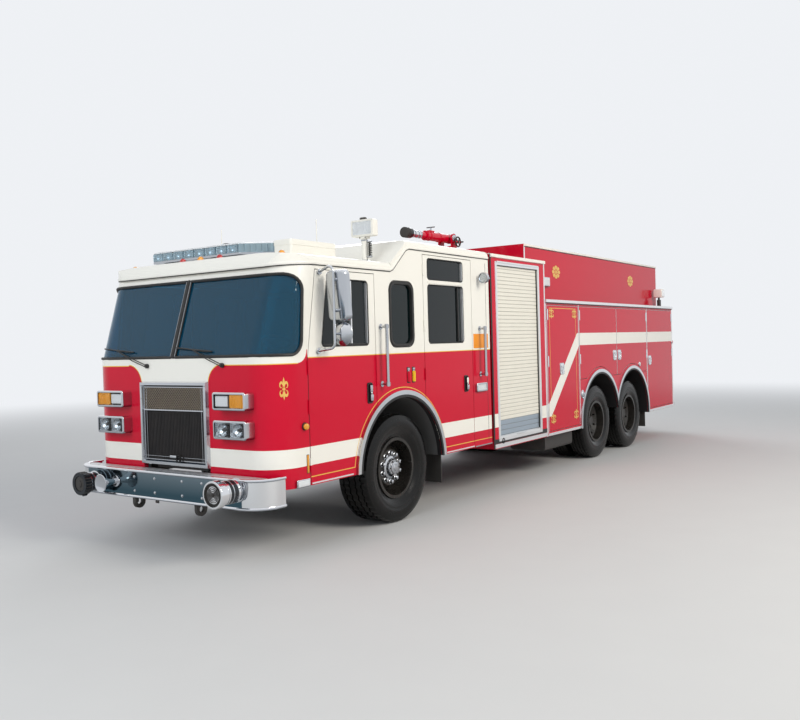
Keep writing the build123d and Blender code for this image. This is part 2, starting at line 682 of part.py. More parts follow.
def roof_units():
    """White housings on the roof, their aerials and the fixed tube of the light mast."""
    right_box = block(610, 830, 700, 1350, 2560, 2760)
    centre_box = block(-420, -180, 880, 1100, 2600, 2790)
    dome = disc_z(70, 2790, 2830, -300, 990)
    boxes = (fillet(right_box.edges().filter_by(Axis.Z), 25) + centre_box + dome) - cab_form(0)
    aerials = disc_z(5, 2700, 3050, -700, 1300) + disc_z(5, 2700, 3050, 500, 1450)
    bases = (disc_z(28, 2560, 2701, -700, 1300) + disc_z(28, 2560, 2701, 500, 1450)) - cab_form(0)
    tube = disc_z(MAST_OUTER, MAST_LOW, MAST_TUBE_TOP, MAST_X, MAST_STATION)
    tube += disc_z(MAST_OUTER + 30, MAST_LOW, 2600, MAST_X, MAST_STATION)
    tube = tube - disc_z(MAST_BORE, MAST_FLOOR, MAST_TUBE_TOP + 5, MAST_X, MAST_STATION)
    tube = tube - cab_form(0)
    return group(boxes, aerials + bases, tube)


# Light mast beside the raised roof
MAST_X = HALF_WIDTH - 250
MAST_STATION = 1610.0
MAST_LOW = 2540.0
MAST_FLOOR = 2608.0
MAST_OUTER = 32.0
MAST_INNER = 25.0
MAST_BORE = MAST_INNER + RUNNING_CLEARANCE
MAST_HEAD_LOW = 2845.0
MAST_HEAD_HEIGHT = 165.0
MAST_HEAD_HALF = 133.0
MAST_HEAD_DEPTH = 85.0
MAST_BRACKET = 22.0
MAST_TUBE_TOP = MAST_HEAD_LOW - MAST_BRACKET - 10


def mast_head():
    """Sliding tube with its lamp head: a framed box on a bracket, with a knob on top."""
    low, high = MAST_HEAD_LOW, MAST_HEAD_LOW + MAST_HEAD_HEIGHT
    face = MAST_STATION - MAST_HEAD_DEPTH / 2
    tube = disc_z(MAST_INNER, MAST_FLOOR + 2, low + 5, MAST_X, MAST_STATION)
    tube += block(MAST_X - 45, MAST_X + 45, MAST_STATION - 30, MAST_STATION + 30, low - MAST_BRACKET, low + 2)
    head = block(MAST_X - MAST_HEAD_HALF, MAST_X + MAST_HEAD_HALF, face, face + MAST_HEAD_DEPTH, low, high)
    head = fillet(head.edges().filter_by(Axis.Y), 14)
    frame = rounded(MAST_X - MAST_HEAD_HALF + 14, MAST_X + MAST_HEAD_HALF - 14, low + 14, high - 14, 8)
    head = head - along(frame, face - 5, face + 12)
    bulge = rounded(MAST_X - MAST_HEAD_HALF + 34, MAST_X + MAST_HEAD_HALF - 34, low + 34, high - 34, 20)
    knob = block(MAST_X - 40, MAST_X + 22, MAST_STATION - 22, MAST_STATION + 22, high - 2, high + 22)
    return tube + head + along(bulge, face + 5, face + 14) + fillet(knob.edges().filter_by(Axis.Z), 12)


# Hinged panels

def hinge(station, spans, toward, plane_x):
    """Hinge barrels on the outer face, with a leaf reaching over the panel."""
    pieces = []
    for low, high in spans:
        barrel = disc_z(HINGE_RADIUS, low, high, plane_x + HINGE_RADIUS, station)
        leaf = block(plane_x, plane_x + LEAF, min(station, station + toward * LEAF_WIDTH),
                     max(station, station + toward * LEAF_WIDTH), low, high)
        pieces.append(barrel + leaf)
    return pieces


def front_door_panel():
    lip = disc_x(ARCH_RADIUS + ARCH_TRIM + LIP_WIDTH + DOOR_GAP, CUT_INNER, CUT_OUTER, FRONT_AXLE, ARCH_CENTRE)
    panel = across(front_door_outline(DOOR_GAP), HALF_WIDTH - CAB_WALL, HALF_WIDTH) - lip
    panel = panel - across(front_window(), CUT_INNER, CUT_OUTER)
    handle = block(HALF_WIDTH, HALF_WIDTH + 26, 1270, 1312, 1244, 1407)
    panel += fillet(handle.edges().filter_by(Axis.X), 8)
    for piece in hinge(FRONT_DOOR_EDGES[0], ((700, 820), (1200, 1320), (1540, 1660)), 1, HALF_WIDTH):
        panel += piece
    return panel


def crew_door_panel():
    lip = disc_x(ARCH_RADIUS + ARCH_TRIM + LIP_WIDTH + DOOR_GAP, CUT_INNER, CUT_OUTER, FRONT_AXLE, ARCH_CENTRE)
    panel = across(crew_door_outline(DOOR_GAP), HALF_WIDTH - CAB_WALL, HALF_WIDTH) - lip
    low, high = crew_windows()
    panel = panel - across(low, CUT_INNER, CUT_OUTER) - across(high, CUT_INNER, CUT_OUTER)
    handle = block(HALF_WIDTH, HALF_WIDTH + 26, 3052, 3092, 1243, 1392)
    panel += fillet(handle.edges().filter_by(Axis.X), 8)
    for piece in hinge(CREW_DOOR_EDGES[0], ((1400, 1520), (1900, 2020), (2480, 2600)), 1, HALF_WIDTH):
        panel += piece
    return panel


def pane(outline):
    """Window glass in the middle of a door's thickness."""
    return across(offset(outline, -GLASS_CLEARANCE), HALF_WIDTH - 30, HALF_WIDTH - 30 + GLASS)


# Mirror on the front door: a leaning flat head and a round wide-angle one, both behind a tube
MIRROR_X = HALF_WIDTH + 170
MIRROR_STATION = 690.0
MIRROR_HALF = 112.0
MIRROR_LOW = 1995.0
MIRROR_HIGH = 2440.0
MIRROR_DEPTH = 65.0
MIRROR_LEAN = 4.0
MIRROR_ROOM = 18.0
CONVEX_RADIUS = 108.0
CONVEX_OUT = 15.0
CONVEX_DEPTH = 52.0
CONVEX_LIP = 9.0
MIRROR_TUBE = 12.0
MIRROR_FOOT_HIGH = (600.0, 2430.0)
MIRROR_FOOT_LOW = (560.0, 1740.0)


def mirror_head():
    """Chrome housing with rounded ends, open at the back for its glass."""
    height = MIRROR_HIGH - MIRROR_LOW
    head = block(-MIRROR_HALF, MIRROR_HALF, -MIRROR_DEPTH, 0, -height / 2, height / 2)
    head = fillet(head.edges().filter_by(Axis.Y), 48)
    head = fillet(head.faces().sort_by(Axis.Y)[0].edges(), 26)
    pocket = rounded(-MIRROR_HALF + 12, MIRROR_HALF - 12, -height / 2 + 12, height / 2 - 12, 36)
    head = head - along(pocket, -8, 5)
    return Pos(MIRROR_X, MIRROR_STATION, (MIRROR_LOW + MIRROR_HIGH) / 2) * Rot(MIRROR_LEAN, 0, 0) * head


def convex_dish(centre_z):
    """Round bowl with a rolled lip; its bulging glass faces the rear."""
    shoulder = CONVEX_RADIUS * 0.72
    bowl = revolve(make_face([
        Line((0, 0), (CONVEX_RADIUS - CONVEX_LIP, 0)),
        ThreePointArc((CONVEX_RADIUS - CONVEX_LIP, 0), (CONVEX_RADIUS, -CONVEX_LIP / 2),
                      (CONVEX_RADIUS - CONVEX_LIP / 2, -CONVEX_LIP)),
        ThreePointArc((CONVEX_RADIUS - CONVEX_LIP / 2, -CONVEX_LIP), (shoulder, -CONVEX_DEPTH * 0.66),
                      (0, -CONVEX_DEPTH)),
        Line((0, -CONVEX_DEPTH), (0, 0))]), Axis.Y)
    return Pos(MIRROR_X + CONVEX_OUT, MIRROR_STATION, centre_z) * bowl


def mirror_assembly():
    lean_reach = (MIRROR_HIGH - MIRROR_LOW) / 2 * sin(radians(MIRROR_LEAN))
    post_y = MIRROR_STATION - MIRROR_DEPTH - lean_reach - MIRROR_ROOM
    convex_z = MIRROR_LOW - CONVEX_RADIUS - 4
    seat_x = HALF_WIDTH + MIRROR_TUBE
    station_high, high = MIRROR_FOOT_HIGH
    station_low, low = MIRROR_FOOT_LOW
    tube = bent_bar([(seat_x, station_high, high), (MIRROR_X, post_y, MIRROR_HIGH + 50),
                     (MIRROR_X, post_y, convex_z - CONVEX_RADIUS - 14), (seat_x, station_low, low)],
                    50, MIRROR_TUBE)
    for z in (MIRROR_HIGH - 90, MIRROR_LOW + 90):
        tube += disc_y(MIRROR_TUBE + 3, post_y, MIRROR_STATION - MIRROR_DEPTH / 2, MIRROR_X, z)
    tube += disc_y(MIRROR_TUBE, post_y, MIRROR_STATION - CONVEX_DEPTH / 2, MIRROR_X, convex_z)
    feet = disc_x(26, HALF_WIDTH, HALF_WIDTH + 18, station_high, high)
    feet += disc_x(26, HALF_WIDTH, HALF_WIDTH + 18, station_low, low)
    return mirror_head() + convex_dish(convex_z) + tube + feet


# Locker openings: their front and rear stations, with pillars between them
FRONT_LOCKER = (5197.0, 6215.0)
WHEEL_LOCKER = (6250.0, 9072.0)
REAR_LOCKER = (9108.0, 10430.0)
WHEEL_DOORS_MEET = 7697.0
MEETING_LAP = 2.0
WHEEL_DOOR_LOW = 1200.0

# Locker doors: name, hinged edge, free edge, lowest z, handle station, handle z
LOCKER_DOORS = (
    ("front", FRONT_LOCKER[0], FRONT_LOCKER[1], DOOR_LOW, 5640.0, 1380.0),
    ("over_wheel_front", WHEEL_LOCKER[0], WHEEL_DOORS_MEET + MEETING_LAP, WHEEL_DOOR_LOW, 7600.0, 1510.0),
    ("over_wheel_rear", WHEEL_LOCKER[1], WHEEL_DOORS_MEET - MEETING_LAP, WHEEL_DOOR_LOW, 7800.0, 1510.0),
    ("rear", REAR_LOCKER[1], REAR_LOCKER[0], DOOR_LOW, 9220.0, 1380.0),
)


def arches(radius, x0, x1):
    cuts = None
    for station in REAR_AXLES:
        cylinder = disc_x(radius, x0, x1, station, ARCH_CENTRE)
        cuts = cylinder if cuts is None else cuts + cylinder
    return cuts


def locker_outline(edge_a, edge_b, low, inset):
    front, rear = min(edge_a, edge_b) + inset, max(edge_a, edge_b) - inset
    return polygon((front, low + inset), (front, DOOR_HIGH - inset), (rear, DOOR_HIGH - inset),
                   (rear, low + inset))


def latch(station, z):
    """Oval-cornered plate with a drop ring hinged in two ears."""
    plate = across(rounded(station - 60, station + 60, z - 75, z + 75, 24), HALF_WIDTH, HALF_WIDTH + 7)
    ring_x = HALF_WIDTH + 14
    loop = bent_bar([(ring_x, station - 32, z + 30), (ring_x + 4, station - 36, z - 34),
                     (ring_x + 4, station + 36, z - 34), (ring_x, station + 32, z + 30)], 22, 5.5)
    for side in (-32, 32):
        loop += block(HALF_WIDTH + 6, ring_x + 8, station + side - 9, station + side + 9, z + 22, z + 40)
    return plate + loop


def locker_panel(hinge_edge, free_edge, low, handle_station, handle_z):
    panel = across(locker_outline(hinge_edge, free_edge, low, DOOR_GAP), HALF_WIDTH - BODY_DOOR, HALF_WIDTH)
    panel = panel - arches(ARCH_RADIUS + ARCH_TRIM + LOCKER_LIP + DOOR_GAP, CUT_INNER, CUT_OUTER)
    panel += latch(handle_station, handle_z)
    toward = 1 if free_edge > hinge_edge else -1
    for piece in hinge(hinge_edge, ((1420, 1560), (2040, 2180)), toward, HALF_WIDTH):
        panel += piece
    return panel


def body_shell():
    """Three locker modules on each side, and the rear wall between them."""
    side = block(LOCKER_INNER, HALF_WIDTH, PUMP_REAR, BODY_REAR, BODY_BOTTOM, LEDGE)
    side = side - arches(ARCH_RADIUS, LOCKER_INNER - 10, HALF_WIDTH + 10)
    openings = None
    for name, hinge_edge, free_edge, low, handle_station, handle_z in LOCKER_DOORS:
        opening = across(locker_outline(hinge_edge, free_edge, low, 0), HALF_WIDTH - BODY_DOOR - DOOR_SEAT,
                         HALF_WIDTH + 10)
        openings = opening if openings is None else openings + opening
    openings = openings - arches(ARCH_RADIUS + ARCH_TRIM + LOCKER_LIP, CUT_INNER, CUT_OUTER)
    inner = LOCKER_INNER + BODY_WALL
    outer = HALF_WIDTH - BODY_DOOR
    arch_top = ARCH_CENTRE + ARCH_RADIUS + BODY_WALL
    for edges, low in ((FRONT_LOCKER, DOOR_LOW), (WHEEL_LOCKER, arch_top), (REAR_LOCKER, DOOR_LOW)):
        openings += block(inner, outer, edges[0] + BODY_WALL, edges[1] - BODY_WALL, low, DOOR_HIGH)
    side = side - openings
    joints = [(FRONT_LOCKER[1] + WHEEL_LOCKER[0]) / 2, (WHEEL_LOCKER[1] + REAR_LOCKER[0]) / 2]
    modules = []
    for front, rear in zip([PUMP_REAR, *joints], [*joints, BODY_REAR]):
        module = side & block(0, CUT_OUTER, front, rear, 0, BED_TOP)
        modules.append(both(module))
    rear_wall = block(-LOCKER_INNER, LOCKER_INNER, BODY_REAR - BODY_WALL, BODY_REAR, BODY_BOTTOM, LEDGE)
    rear_wall = rear_wall - block(-REAR_SHUTTER_HALF, REAR_SHUTTER_HALF, BODY_REAR - 100, BODY_REAR + 10,
                                  REAR_SHUTTER_LOW, REAR_SHUTTER_HIGH)
    return group(*modules, rear_wall)


# Rear shutter
REAR_SHUTTER_HALF = 480.0
REAR_SHUTTER_LOW = 760.0
REAR_SHUTTER_HIGH = 2150.0
SLAT = 46.0
BROAD_SLAT = 60.0
BROAD_SLATS_TOP = 830.0
SHUTTER_BAR = 30.0


def slats(bands, depth_face, thickness):
    """Side view of a curtain whose slats bulge a little; bands lists low z, high z and slat height."""
    lowest = min(low for low, high, slat in bands)
    highest = max(high for low, high, slat in bands)
    points = [(depth_face - thickness, lowest), (depth_face - thickness, highest)]
    for low, high, slat in bands:
        count = round((high - low) / slat)
        pitch = (high - low) / count
        for step in range(count):
            top = high - step * pitch
            points += [(depth_face - 5, top), (depth_face, top - 6), (depth_face, top - pitch + 6)]
    points.append((depth_face - 5, lowest))
    return polygon(*points)


def shutters():
    """Roll-up shutters: one each side of the pump house and one at the rear."""
    bar_top = SHUTTER_LOW + SHUTTER_BAR
    curtain = slats(((BROAD_SLATS_TOP, SHUTTER_HIGH, SLAT), (bar_top, BROAD_SLATS_TOP, BROAD_SLAT)),
                    HALF_WIDTH - 20, 18)
    side = along(curtain, SHUTTER_FRONT, SHUTTER_REAR)
    side += block(HALF_WIDTH - 38, HALF_WIDTH - 14, SHUTTER_FRONT, SHUTTER_REAR, SHUTTER_LOW, bar_top)
    rear = across(slats(((REAR_SHUTTER_LOW, REAR_SHUTTER_HIGH, SLAT),), BODY_REAR - 12, 18),
                  -REAR_SHUTTER_HALF, REAR_SHUTTER_HALF)
    return group(side, mirrored(side), rear)


def pump_house():
    """Pump house: panelled box, open below, with a shutter opening on each side."""
    outer = block(-HALF_WIDTH, HALF_WIDTH, PUMP_FRONT, PUMP_REAR, PUMP_BOTTOM, PUMP_TOP)
    inner = block(-HALF_WIDTH + PANEL, HALF_WIDTH - PANEL, PUMP_FRONT + PANEL, PUMP_REAR - PANEL,
                  PUMP_BOTTOM - 5, PUMP_TOP - PANEL)
    opening = block(HALF_WIDTH - 120, HALF_WIDTH + 10, SHUTTER_FRONT, SHUTTER_REAR, SHUTTER_LOW, SHUTTER_HIGH)
    notch = block(-RAIL_OUTER - RAIL_ROOM, RAIL_OUTER + RAIL_ROOM, PUMP_FRONT - 5, PUMP_REAR + 5,
                  PUMP_BOTTOM - 5, RAIL_TOP)
    house = outer - inner - opening - mirrored(opening) - notch
    return house


def tank_and_hose_bed():
    """Water tank between the lockers, and the hose bed that stands on it."""
    tank = block(-TANK_HALF, TANK_HALF, PUMP_REAR + 10, TANK_REAR, RAIL_TOP + CROSSBEAM_HEIGHT, LEDGE)
    bed = block(-BED_HALF, BED_HALF, PUMP_REAR, BODY_REAR, LEDGE, BED_TOP)
    bed = bed - block(-BED_HALF + BODY_WALL, BED_HALF - BODY_WALL, PUMP_REAR + 700, BODY_REAR - BODY_WALL,
                      BED_FLOOR, BED_TOP + 10)
    bed = bed - block(-BED_HALF + BODY_WALL, BED_HALF - BODY_WALL, BODY_REAR - BODY_WALL - 5, BODY_REAR + 10,
                      BED_REAR_WALL, BED_TOP + 10)
    return group(bed, tank)


def frame_rails():
    """Channel rails, cross members, cab mounts, body outriggers and tow eyes."""
    rail = block(RAIL_OUTER - RAIL_FLANGE, RAIL_OUTER, RAIL_FRONT, RAIL_REAR, RAIL_BOTTOM, RAIL_TOP)
    rail = rail - block(0, RAIL_OUTER - RAIL_WEB, RAIL_FRONT - 5, RAIL_REAR + 5,
                        RAIL_BOTTOM + RAIL_WEB, RAIL_TOP - RAIL_WEB)
    rail += block(RAIL_OUTER - RAIL_FLANGE, RAIL_OUTER, EXTENSION_FRONT, RAIL_FRONT + 140,
                  EXTENSION_LOW, EXTENSION_HIGH)
    frame = rail + mirrored(rail)
    inner = RAIL_OUTER - RAIL_WEB
    for station in (430, 3450, 4850, 5900, 6500, 7675, 9000, 9700, 10390):
        frame += block(-inner, inner, station - 35, station + 35, RAIL_TOP - RAIL_WEB - 38, RAIL_TOP - RAIL_WEB)
    frame += block(-RAIL_OUTER, RAIL_OUTER, -60, 0, EXTENSION_LOW + 20, EXTENSION_HIGH - 30)
    for station in (5300, 6160, 7675, 9200, 10300):
        frame += block(-LOCKER_INNER, LOCKER_INNER, station - 40, station + 40, RAIL_TOP, RAIL_TOP + CROSSBEAM_HEIGHT)
    for station in (330, 3350):
        mount = block(RAIL_OUTER - RAIL_FLANGE, 640, station - 50, station + 50, RAIL_TOP, FLOOR_TOP - FLOOR_PLATE)
        frame += mount + mirrored(mount)
    for station, joined_at in ((FRONT_EYE_STATION, EXTENSION_LOW), (REAR_EYE_STATION, RAIL_BOTTOM)):
        eye = block(RAIL_OUTER - EYE_PLATE, RAIL_OUTER, station - EYE_RADIUS, station + EYE_RADIUS,
                    TOW_EYE_Z, joined_at + 5)
        eye += disc_x(EYE_RADIUS, RAIL_OUTER - EYE_PLATE, RAIL_OUTER, station, TOW_EYE_Z)
        eye = eye - disc_x(TOW_EYE_RADIUS, RAIL_OUTER - EYE_PLATE - 5, RAIL_OUTER + 5, station, TOW_EYE_Z)
        frame += eye + mirrored(eye)
    return frame


def front_axle():
    """Dropped beam with its kingpins, and the leaf springs it hangs from."""
    beam_view = polygon(
        (-KINGPIN_X, 490), (-KINGPIN_X, 590), (-620, 590), (-520, 500), (520, 500), (620, 590),
        (KINGPIN_X, 590), (KINGPIN_X, 490), (640, 490), (540, 400), (-540, 400), (-640, 490))
    beam = along(beam_view, FRONT_AXLE - 45, FRONT_AXLE + 45)
    side = disc_z(48, 490, 590, KINGPIN_X, FRONT_AXLE)
    side += disc_z(KINGPIN_RADIUS, 425, 655, KINGPIN_X, FRONT_AXLE)
    spring_x0, spring_x1 = 345, 430
    side += block(spring_x0, spring_x1, FRONT_AXLE - 60, FRONT_AXLE + 60, 499, 540)
    for level, reach in ((0, 650), (1, 500), (2, 350)):
        side += block(spring_x0, spring_x1, FRONT_AXLE - reach, FRONT_AXLE + reach,
                      600 - 20 * level, 620 - 20 * level)
    for end in (-630, 630):
        side += block(spring_x0, spring_x1, FRONT_AXLE + end - 30, FRONT_AXLE + end + 30, 600, RAIL_BOTTOM)
    side += block(spring_x0, spring_x1, FRONT_AXLE - 60, FRONT_AXLE + 60, 540, 561)
    return beam + side + mirrored(side)


def knuckle():
    """Steering knuckle: two ears round the kingpin, a web and the spindle."""
    bore = KINGPIN_RADIUS + RUNNING_CLEARANCE
    ears = disc_z(50, 600, 650, KINGPIN_X, FRONT_AXLE) + disc_z(50, 430, 480, KINGPIN_X, FRONT_AXLE)
    web = block(KINGPIN_X + 55, KINGPIN_X + 90, FRONT_AXLE - 50, FRONT_AXLE + 50, 430, 650)
    ties = block(KINGPIN_X, KINGPIN_X + 60, FRONT_AXLE - 50, FRONT_AXLE + 50, 600, 650)
    ties += block(KINGPIN_X, KINGPIN_X + 60, FRONT_AXLE - 50, FRONT_AXLE + 50, 430, 480)
    spindle = disc_x(SPINDLE_RADIUS, KINGPIN_X + 89, 1080, FRONT_AXLE, TYRE_RADIUS)
    arm = block(KINGPIN_X - 20, KINGPIN_X + 20, FRONT_AXLE + 45, FRONT_AXLE + 190, 440, 470)
    body = ears + ties + web + spindle + arm
    return body - disc_z(bore, 400, 700, KINGPIN_X, FRONT_AXLE)


def tyre_section(width):
    """Half section of a tyre, drawn as (radius, offset along the axle)."""
    half = width / 2
    bead = 138.0 if width > 300 else 112.0
    shoulder = TYRE_RADIUS - 12
    tread = half - 24
    return make_face([
        Line((RIM_SEAT, -bead), (RIM_SEAT, bead)),
        Line((RIM_SEAT, bead), (FLANGE_RADIUS + 4, bead)),
        ThreePointArc((FLANGE_RADIUS + 4, bead), (FLANGE_RADIUS + 110, half), (shoulder, tread)),
        Line((shoulder, tread), (TYRE_RADIUS, tread - 22)),
        Line((TYRE_RADIUS, tread - 22), (TYRE_RADIUS, -tread + 22)),
        Line((TYRE_RADIUS, -tread + 22), (shoulder, -tread)),
        ThreePointArc((shoulder, -tread), (FLANGE_RADIUS + 110, -half), (FLANGE_RADIUS + 4, -bead)),
        Line((FLANGE_RADIUS + 4, -bead), (RIM_SEAT, -bead)),
    ])


def on_axle(section, x, station):
    """Turn a (radius, offset) section about the wheel's axis, offset pointing to +X."""
    ring = revolve(section, Axis.Y)
    return Pos(x, station, TYRE_RADIUS) * Rot(0, 0, -90) * ring


def ring(inner, outer, low, high):
    return polygon((inner, low), (outer, low), (outer, high), (inner, high))


def barrel(width):
    """Half section of a rim: the barrel and its two flanges."""
    half = width / 2 + 12
    seat = RIM_SEAT
    return polygon((seat - RIM_WALL, -half), (FLANGE_RADIUS, -half), (FLANGE_RADIUS, -half + 12), (seat, -half + 12),
                   (seat, half - 12), (FLANGE_RADIUS, half - 12), (FLANGE_RADIUS, half), (seat - RIM_WALL, half))


def wheel_disc(lift, bore):
    """Half section of a dished disc, its hub face raised by lift."""
    inner = RIM_SEAT - RIM_WALL
    sign = 1 if lift > 0 else -1
    points = [(bore, lift), (178, lift), (215, lift * 0.4), (inner, 0), (inner, -14 * sign),
              (206, lift * 0.4 - 18 * sign), (170, lift - 14 * sign), (bore, lift - 14 * sign)]
    return polygon(*points)


def hand_holes(x0, x1, station):
    holes = None
    for step in range(HAND_HOLE_COUNT):
        angle = radians(step * 360 / HAND_HOLE_COUNT + 18)
        hole = disc_x(HAND_HOLE_RADIUS, x0, x1, station + HAND_HOLE_CIRCLE * cos(angle),
                      TYRE_RADIUS + HAND_HOLE_CIRCLE * sin(angle))
        holes = hole if holes is None else holes + hole
    return holes


FRONT_WHEEL_X = TYRE_FACE - FRONT_TYRE_WIDTH / 2
REAR_WHEEL_X = TYRE_FACE - REAR_TYRE_WIDTH / 2 - DUAL_SPACING / 2


def front_rim():
    bore = SPINDLE_RADIUS + RUNNING_CLEARANCE
    solid = on_axle(barrel(2 * 138.0), FRONT_WHEEL_X, FRONT_AXLE)
    solid += on_axle(wheel_disc(70, 80), FRONT_WHEEL_X, FRONT_AXLE)
    solid = solid - hand_holes(FRONT_WHEEL_X - 100, FRONT_WHEEL_X + 100, FRONT_AXLE)
    hub = on_axle(ring(bore, 82, -30, 110), FRONT_WHEEL_X, FRONT_AXLE)
    cap = on_axle(ring(0, 82, 109, 128), FRONT_WHEEL_X, FRONT_AXLE)
    return solid + hub + cap


def front_tyre():
    return on_axle(tyre_section(FRONT_TYRE_WIDTH), FRONT_WHEEL_X, FRONT_AXLE)


def rear_tyres(station):
    tyres = []
    for offset_x in (-DUAL_SPACING / 2, DUAL_SPACING / 2):
        tyres.append(on_axle(tyre_section(REAR_TYRE_WIDTH), REAR_WHEEL_X + offset_x, station))
    return group(*tyres)


def rear_rims(station):
    bore = SPINDLE_RADIUS + RUNNING_CLEARANCE
    solid = None
    for offset_x, lift in ((-DUAL_SPACING / 2, 150), (DUAL_SPACING / 2, -150)):
        rim = on_axle(barrel(2 * 112.0), REAR_WHEEL_X + offset_x, station)
        rim += on_axle(wheel_disc(lift, 80), REAR_WHEEL_X + offset_x, station)
        solid = rim if solid is None else solid + rim
    solid = solid - hand_holes(REAR_WHEEL_X - 200, REAR_WHEEL_X + 200, station)
    solid += on_axle(ring(bore, 105, -90, 150), REAR_WHEEL_X, station)
    solid += on_axle(ring(0, 70, 149, 205), REAR_WHEEL_X, station)
    return solid


def rear_axles():
    """Two driven axles, and the springs and trunnion that join them to the frame."""
    body = None
    for station in REAR_AXLES:
        tube = disc_x(70, -REAR_WHEEL_X + 160, REAR_WHEEL_X - 160, station, TYRE_RADIUS)
        spindle = disc_x(SPINDLE_RADIUS, REAR_WHEEL_X - 161, REAR_WHEEL_X + 130, station, TYRE_RADIUS)
        axle = tube + spindle + mirrored(spindle) + Pos(0, station, TYRE_RADIUS) * Sphere(190)
        axle += disc_y(75, station - 260, station, 0, TYRE_RADIUS)
        body = axle if body is None else body + axle
    middle = sum(REAR_AXLES) / 2
    beam = block(355, 430, REAR_AXLES[0] - 60, REAR_AXLES[1] + 60, 410, 480)
    beam += block(355, 430, middle - 110, middle + 110, 479, RAIL_BOTTOM)
    return body + beam + mirrored(beam)


# Engine and pump: plain blocks that hang on mounts lying on the rails
ENGINE_HALF = 330.0
MOUNT_STATIONS = (1250.0, 2200.0, 4250.0)
MOUNT_THICKNESS = 40.0


def drivetrain():
    """Radiator, engine and gearbox, midship pump and propeller shafts."""
    radiator = block(-395, 395, 70, 190, 940, 1450)
    radiator += block(-340, 340, 70, 190, 700, 941)
    engine = block(-ENGINE_HALF, ENGINE_HALF, 1050, 2420, 700, 1540)
    engine += block(-180, 180, 700, 1051, 820, 1000)
    fan = disc_y(300, 640, 700, 0, 1180)
    fan += disc_y(60, 190, 1051, 0, 1180)
    gearbox = disc_y(230, 2419, 3150, 0, 800)
    shaft = rod((0, 3149, 800), (0, 3901, 780), 55)
    pump = block(-ENGINE_HALF, ENGINE_HALF, 3900, 4600, 640, 1250)
    rear_shaft = rod((0, 4599, 740), (0, REAR_AXLES[0] - 266, 560), 55)
    link = disc_y(50, REAR_AXLES[0] + 190.5, REAR_AXLES[1] - 260.5, 0, TYRE_RADIUS)
    line = radiator + fan + engine + gearbox + shaft + pump + rear_shaft
    for station in MOUNT_STATIONS:
        mount = block(ENGINE_HALF - 5, RAIL_OUTER - 20, station - 50, station + 50,
                      RAIL_TOP, RAIL_TOP + MOUNT_THICKNESS)
        line = line + mount + mirrored(mount)
    return group(line, link)


def chassis_fittings():
    """Fuel tank, air tanks and battery box below the body, and the mud flaps."""
    fuel = block(640, 1150, 5220, 6100, 300, 505)
    fuel = fillet(fuel.edges().filter_by(Axis.Y), 40)
    pieces = [fuel]
    for station in (5300, 5560, 5820):
        pieces.append(disc_x(110, -1150, -640, station, 395))
    flap_front = block(830, 1170, 2600, 2612, 280, STEP_WELL_BOTTOM)
    flap_rear = block(600, 1170, 9090, 9102, 260, BODY_BOTTOM)
    pieces += [both(flap_front), both(flap_rear)]
    return group(*pieces)


def arch_trims():
    """Bright trim round each wheel opening."""
    pieces = []
    for station in (FRONT_AXLE, *REAR_AXLES):
        outer = disc_x(ARCH_RADIUS + ARCH_TRIM, HALF_WIDTH, HALF_WIDTH + 22, station, ARCH_CENTRE)
        inner = disc_x(ARCH_RADIUS, HALF_WIDTH - 5, HALF_WIDTH + 30, station, ARCH_CENTRE)
        low = CAB_BOTTOM if station == FRONT_AXLE else BODY_BOTTOM
        below = block(HALF_WIDTH - 5, HALF_WIDTH + 30, station - 900, station + 900, -300, low)
        trim = outer - inner - below
        for other in REAR_AXLES:
            if station != FRONT_AXLE and other != station:
                trim = trim - block(HALF_WIDTH - 5, HALF_WIDTH + 30,
                                    *sorted((sum(REAR_AXLES) / 2, other + (other - station))), 0, 1300)
        pieces.append(both(trim))
    return group(*pieces)


# Deck gun on the pump house
GUN_X = 250.0
GUN_STATION = 4350.0
GUN_RISER = 155.0
GUN_BASE_TOP = PUMP_TOP + GUN_RISER
GUN_PIVOT = GUN_BASE_TOP + 160
GUN_BORE = 51.0
FORK_INNER = 85.0
FORK_OUTER = 105.0
FORK_HALF_LENGTH = 60.0
HANDWHEEL_RADIUS = 60.0


def gun_base():
    """Slewing body: a column on the riser, a fork for the barrel and the slewing handwheel."""
    front, rear = GUN_STATION - FORK_HALF_LENGTH, GUN_STATION + FORK_HALF_LENGTH
    bridge_low, bridge_high = GUN_BASE_TOP + 40, GUN_BASE_TOP + 60
    body = disc_z(70, GUN_BASE_TOP + RUNNING_CLEARANCE, bridge_high, GUN_X, GUN_STATION)
    body += block(GUN_X - FORK_OUTER, GUN_X + FORK_OUTER, front, rear, bridge_low, bridge_high)
    for side in (-1, 1):
        near, far = sorted((GUN_X + side * FORK_INNER, GUN_X + side * FORK_OUTER))
        cheek = block(near, far, front, rear, bridge_low, GUN_PIVOT)
        body += cheek + disc_x(FORK_HALF_LENGTH, near, far, GUN_STATION, GUN_PIVOT)
    wheel_x = GUN_X + FORK_OUTER + 55
    wheel_z = GUN_PIVOT - 50
    wheel = Pos(wheel_x, GUN_STATION, wheel_z) * Rot(0, 90, 0) * Torus(HANDWHEEL_RADIUS, 9)
    wheel += block(wheel_x - 6, wheel_x + 6, GUN_STATION - HANDWHEEL_RADIUS, GUN_STATION + HANDWHEEL_RADIUS,
                   wheel_z - 7, wheel_z + 7)
    wheel += disc_x(11, GUN_X + FORK_OUTER - 1, wheel_x + 10, GUN_STATION, wheel_z)
    return body + wheel


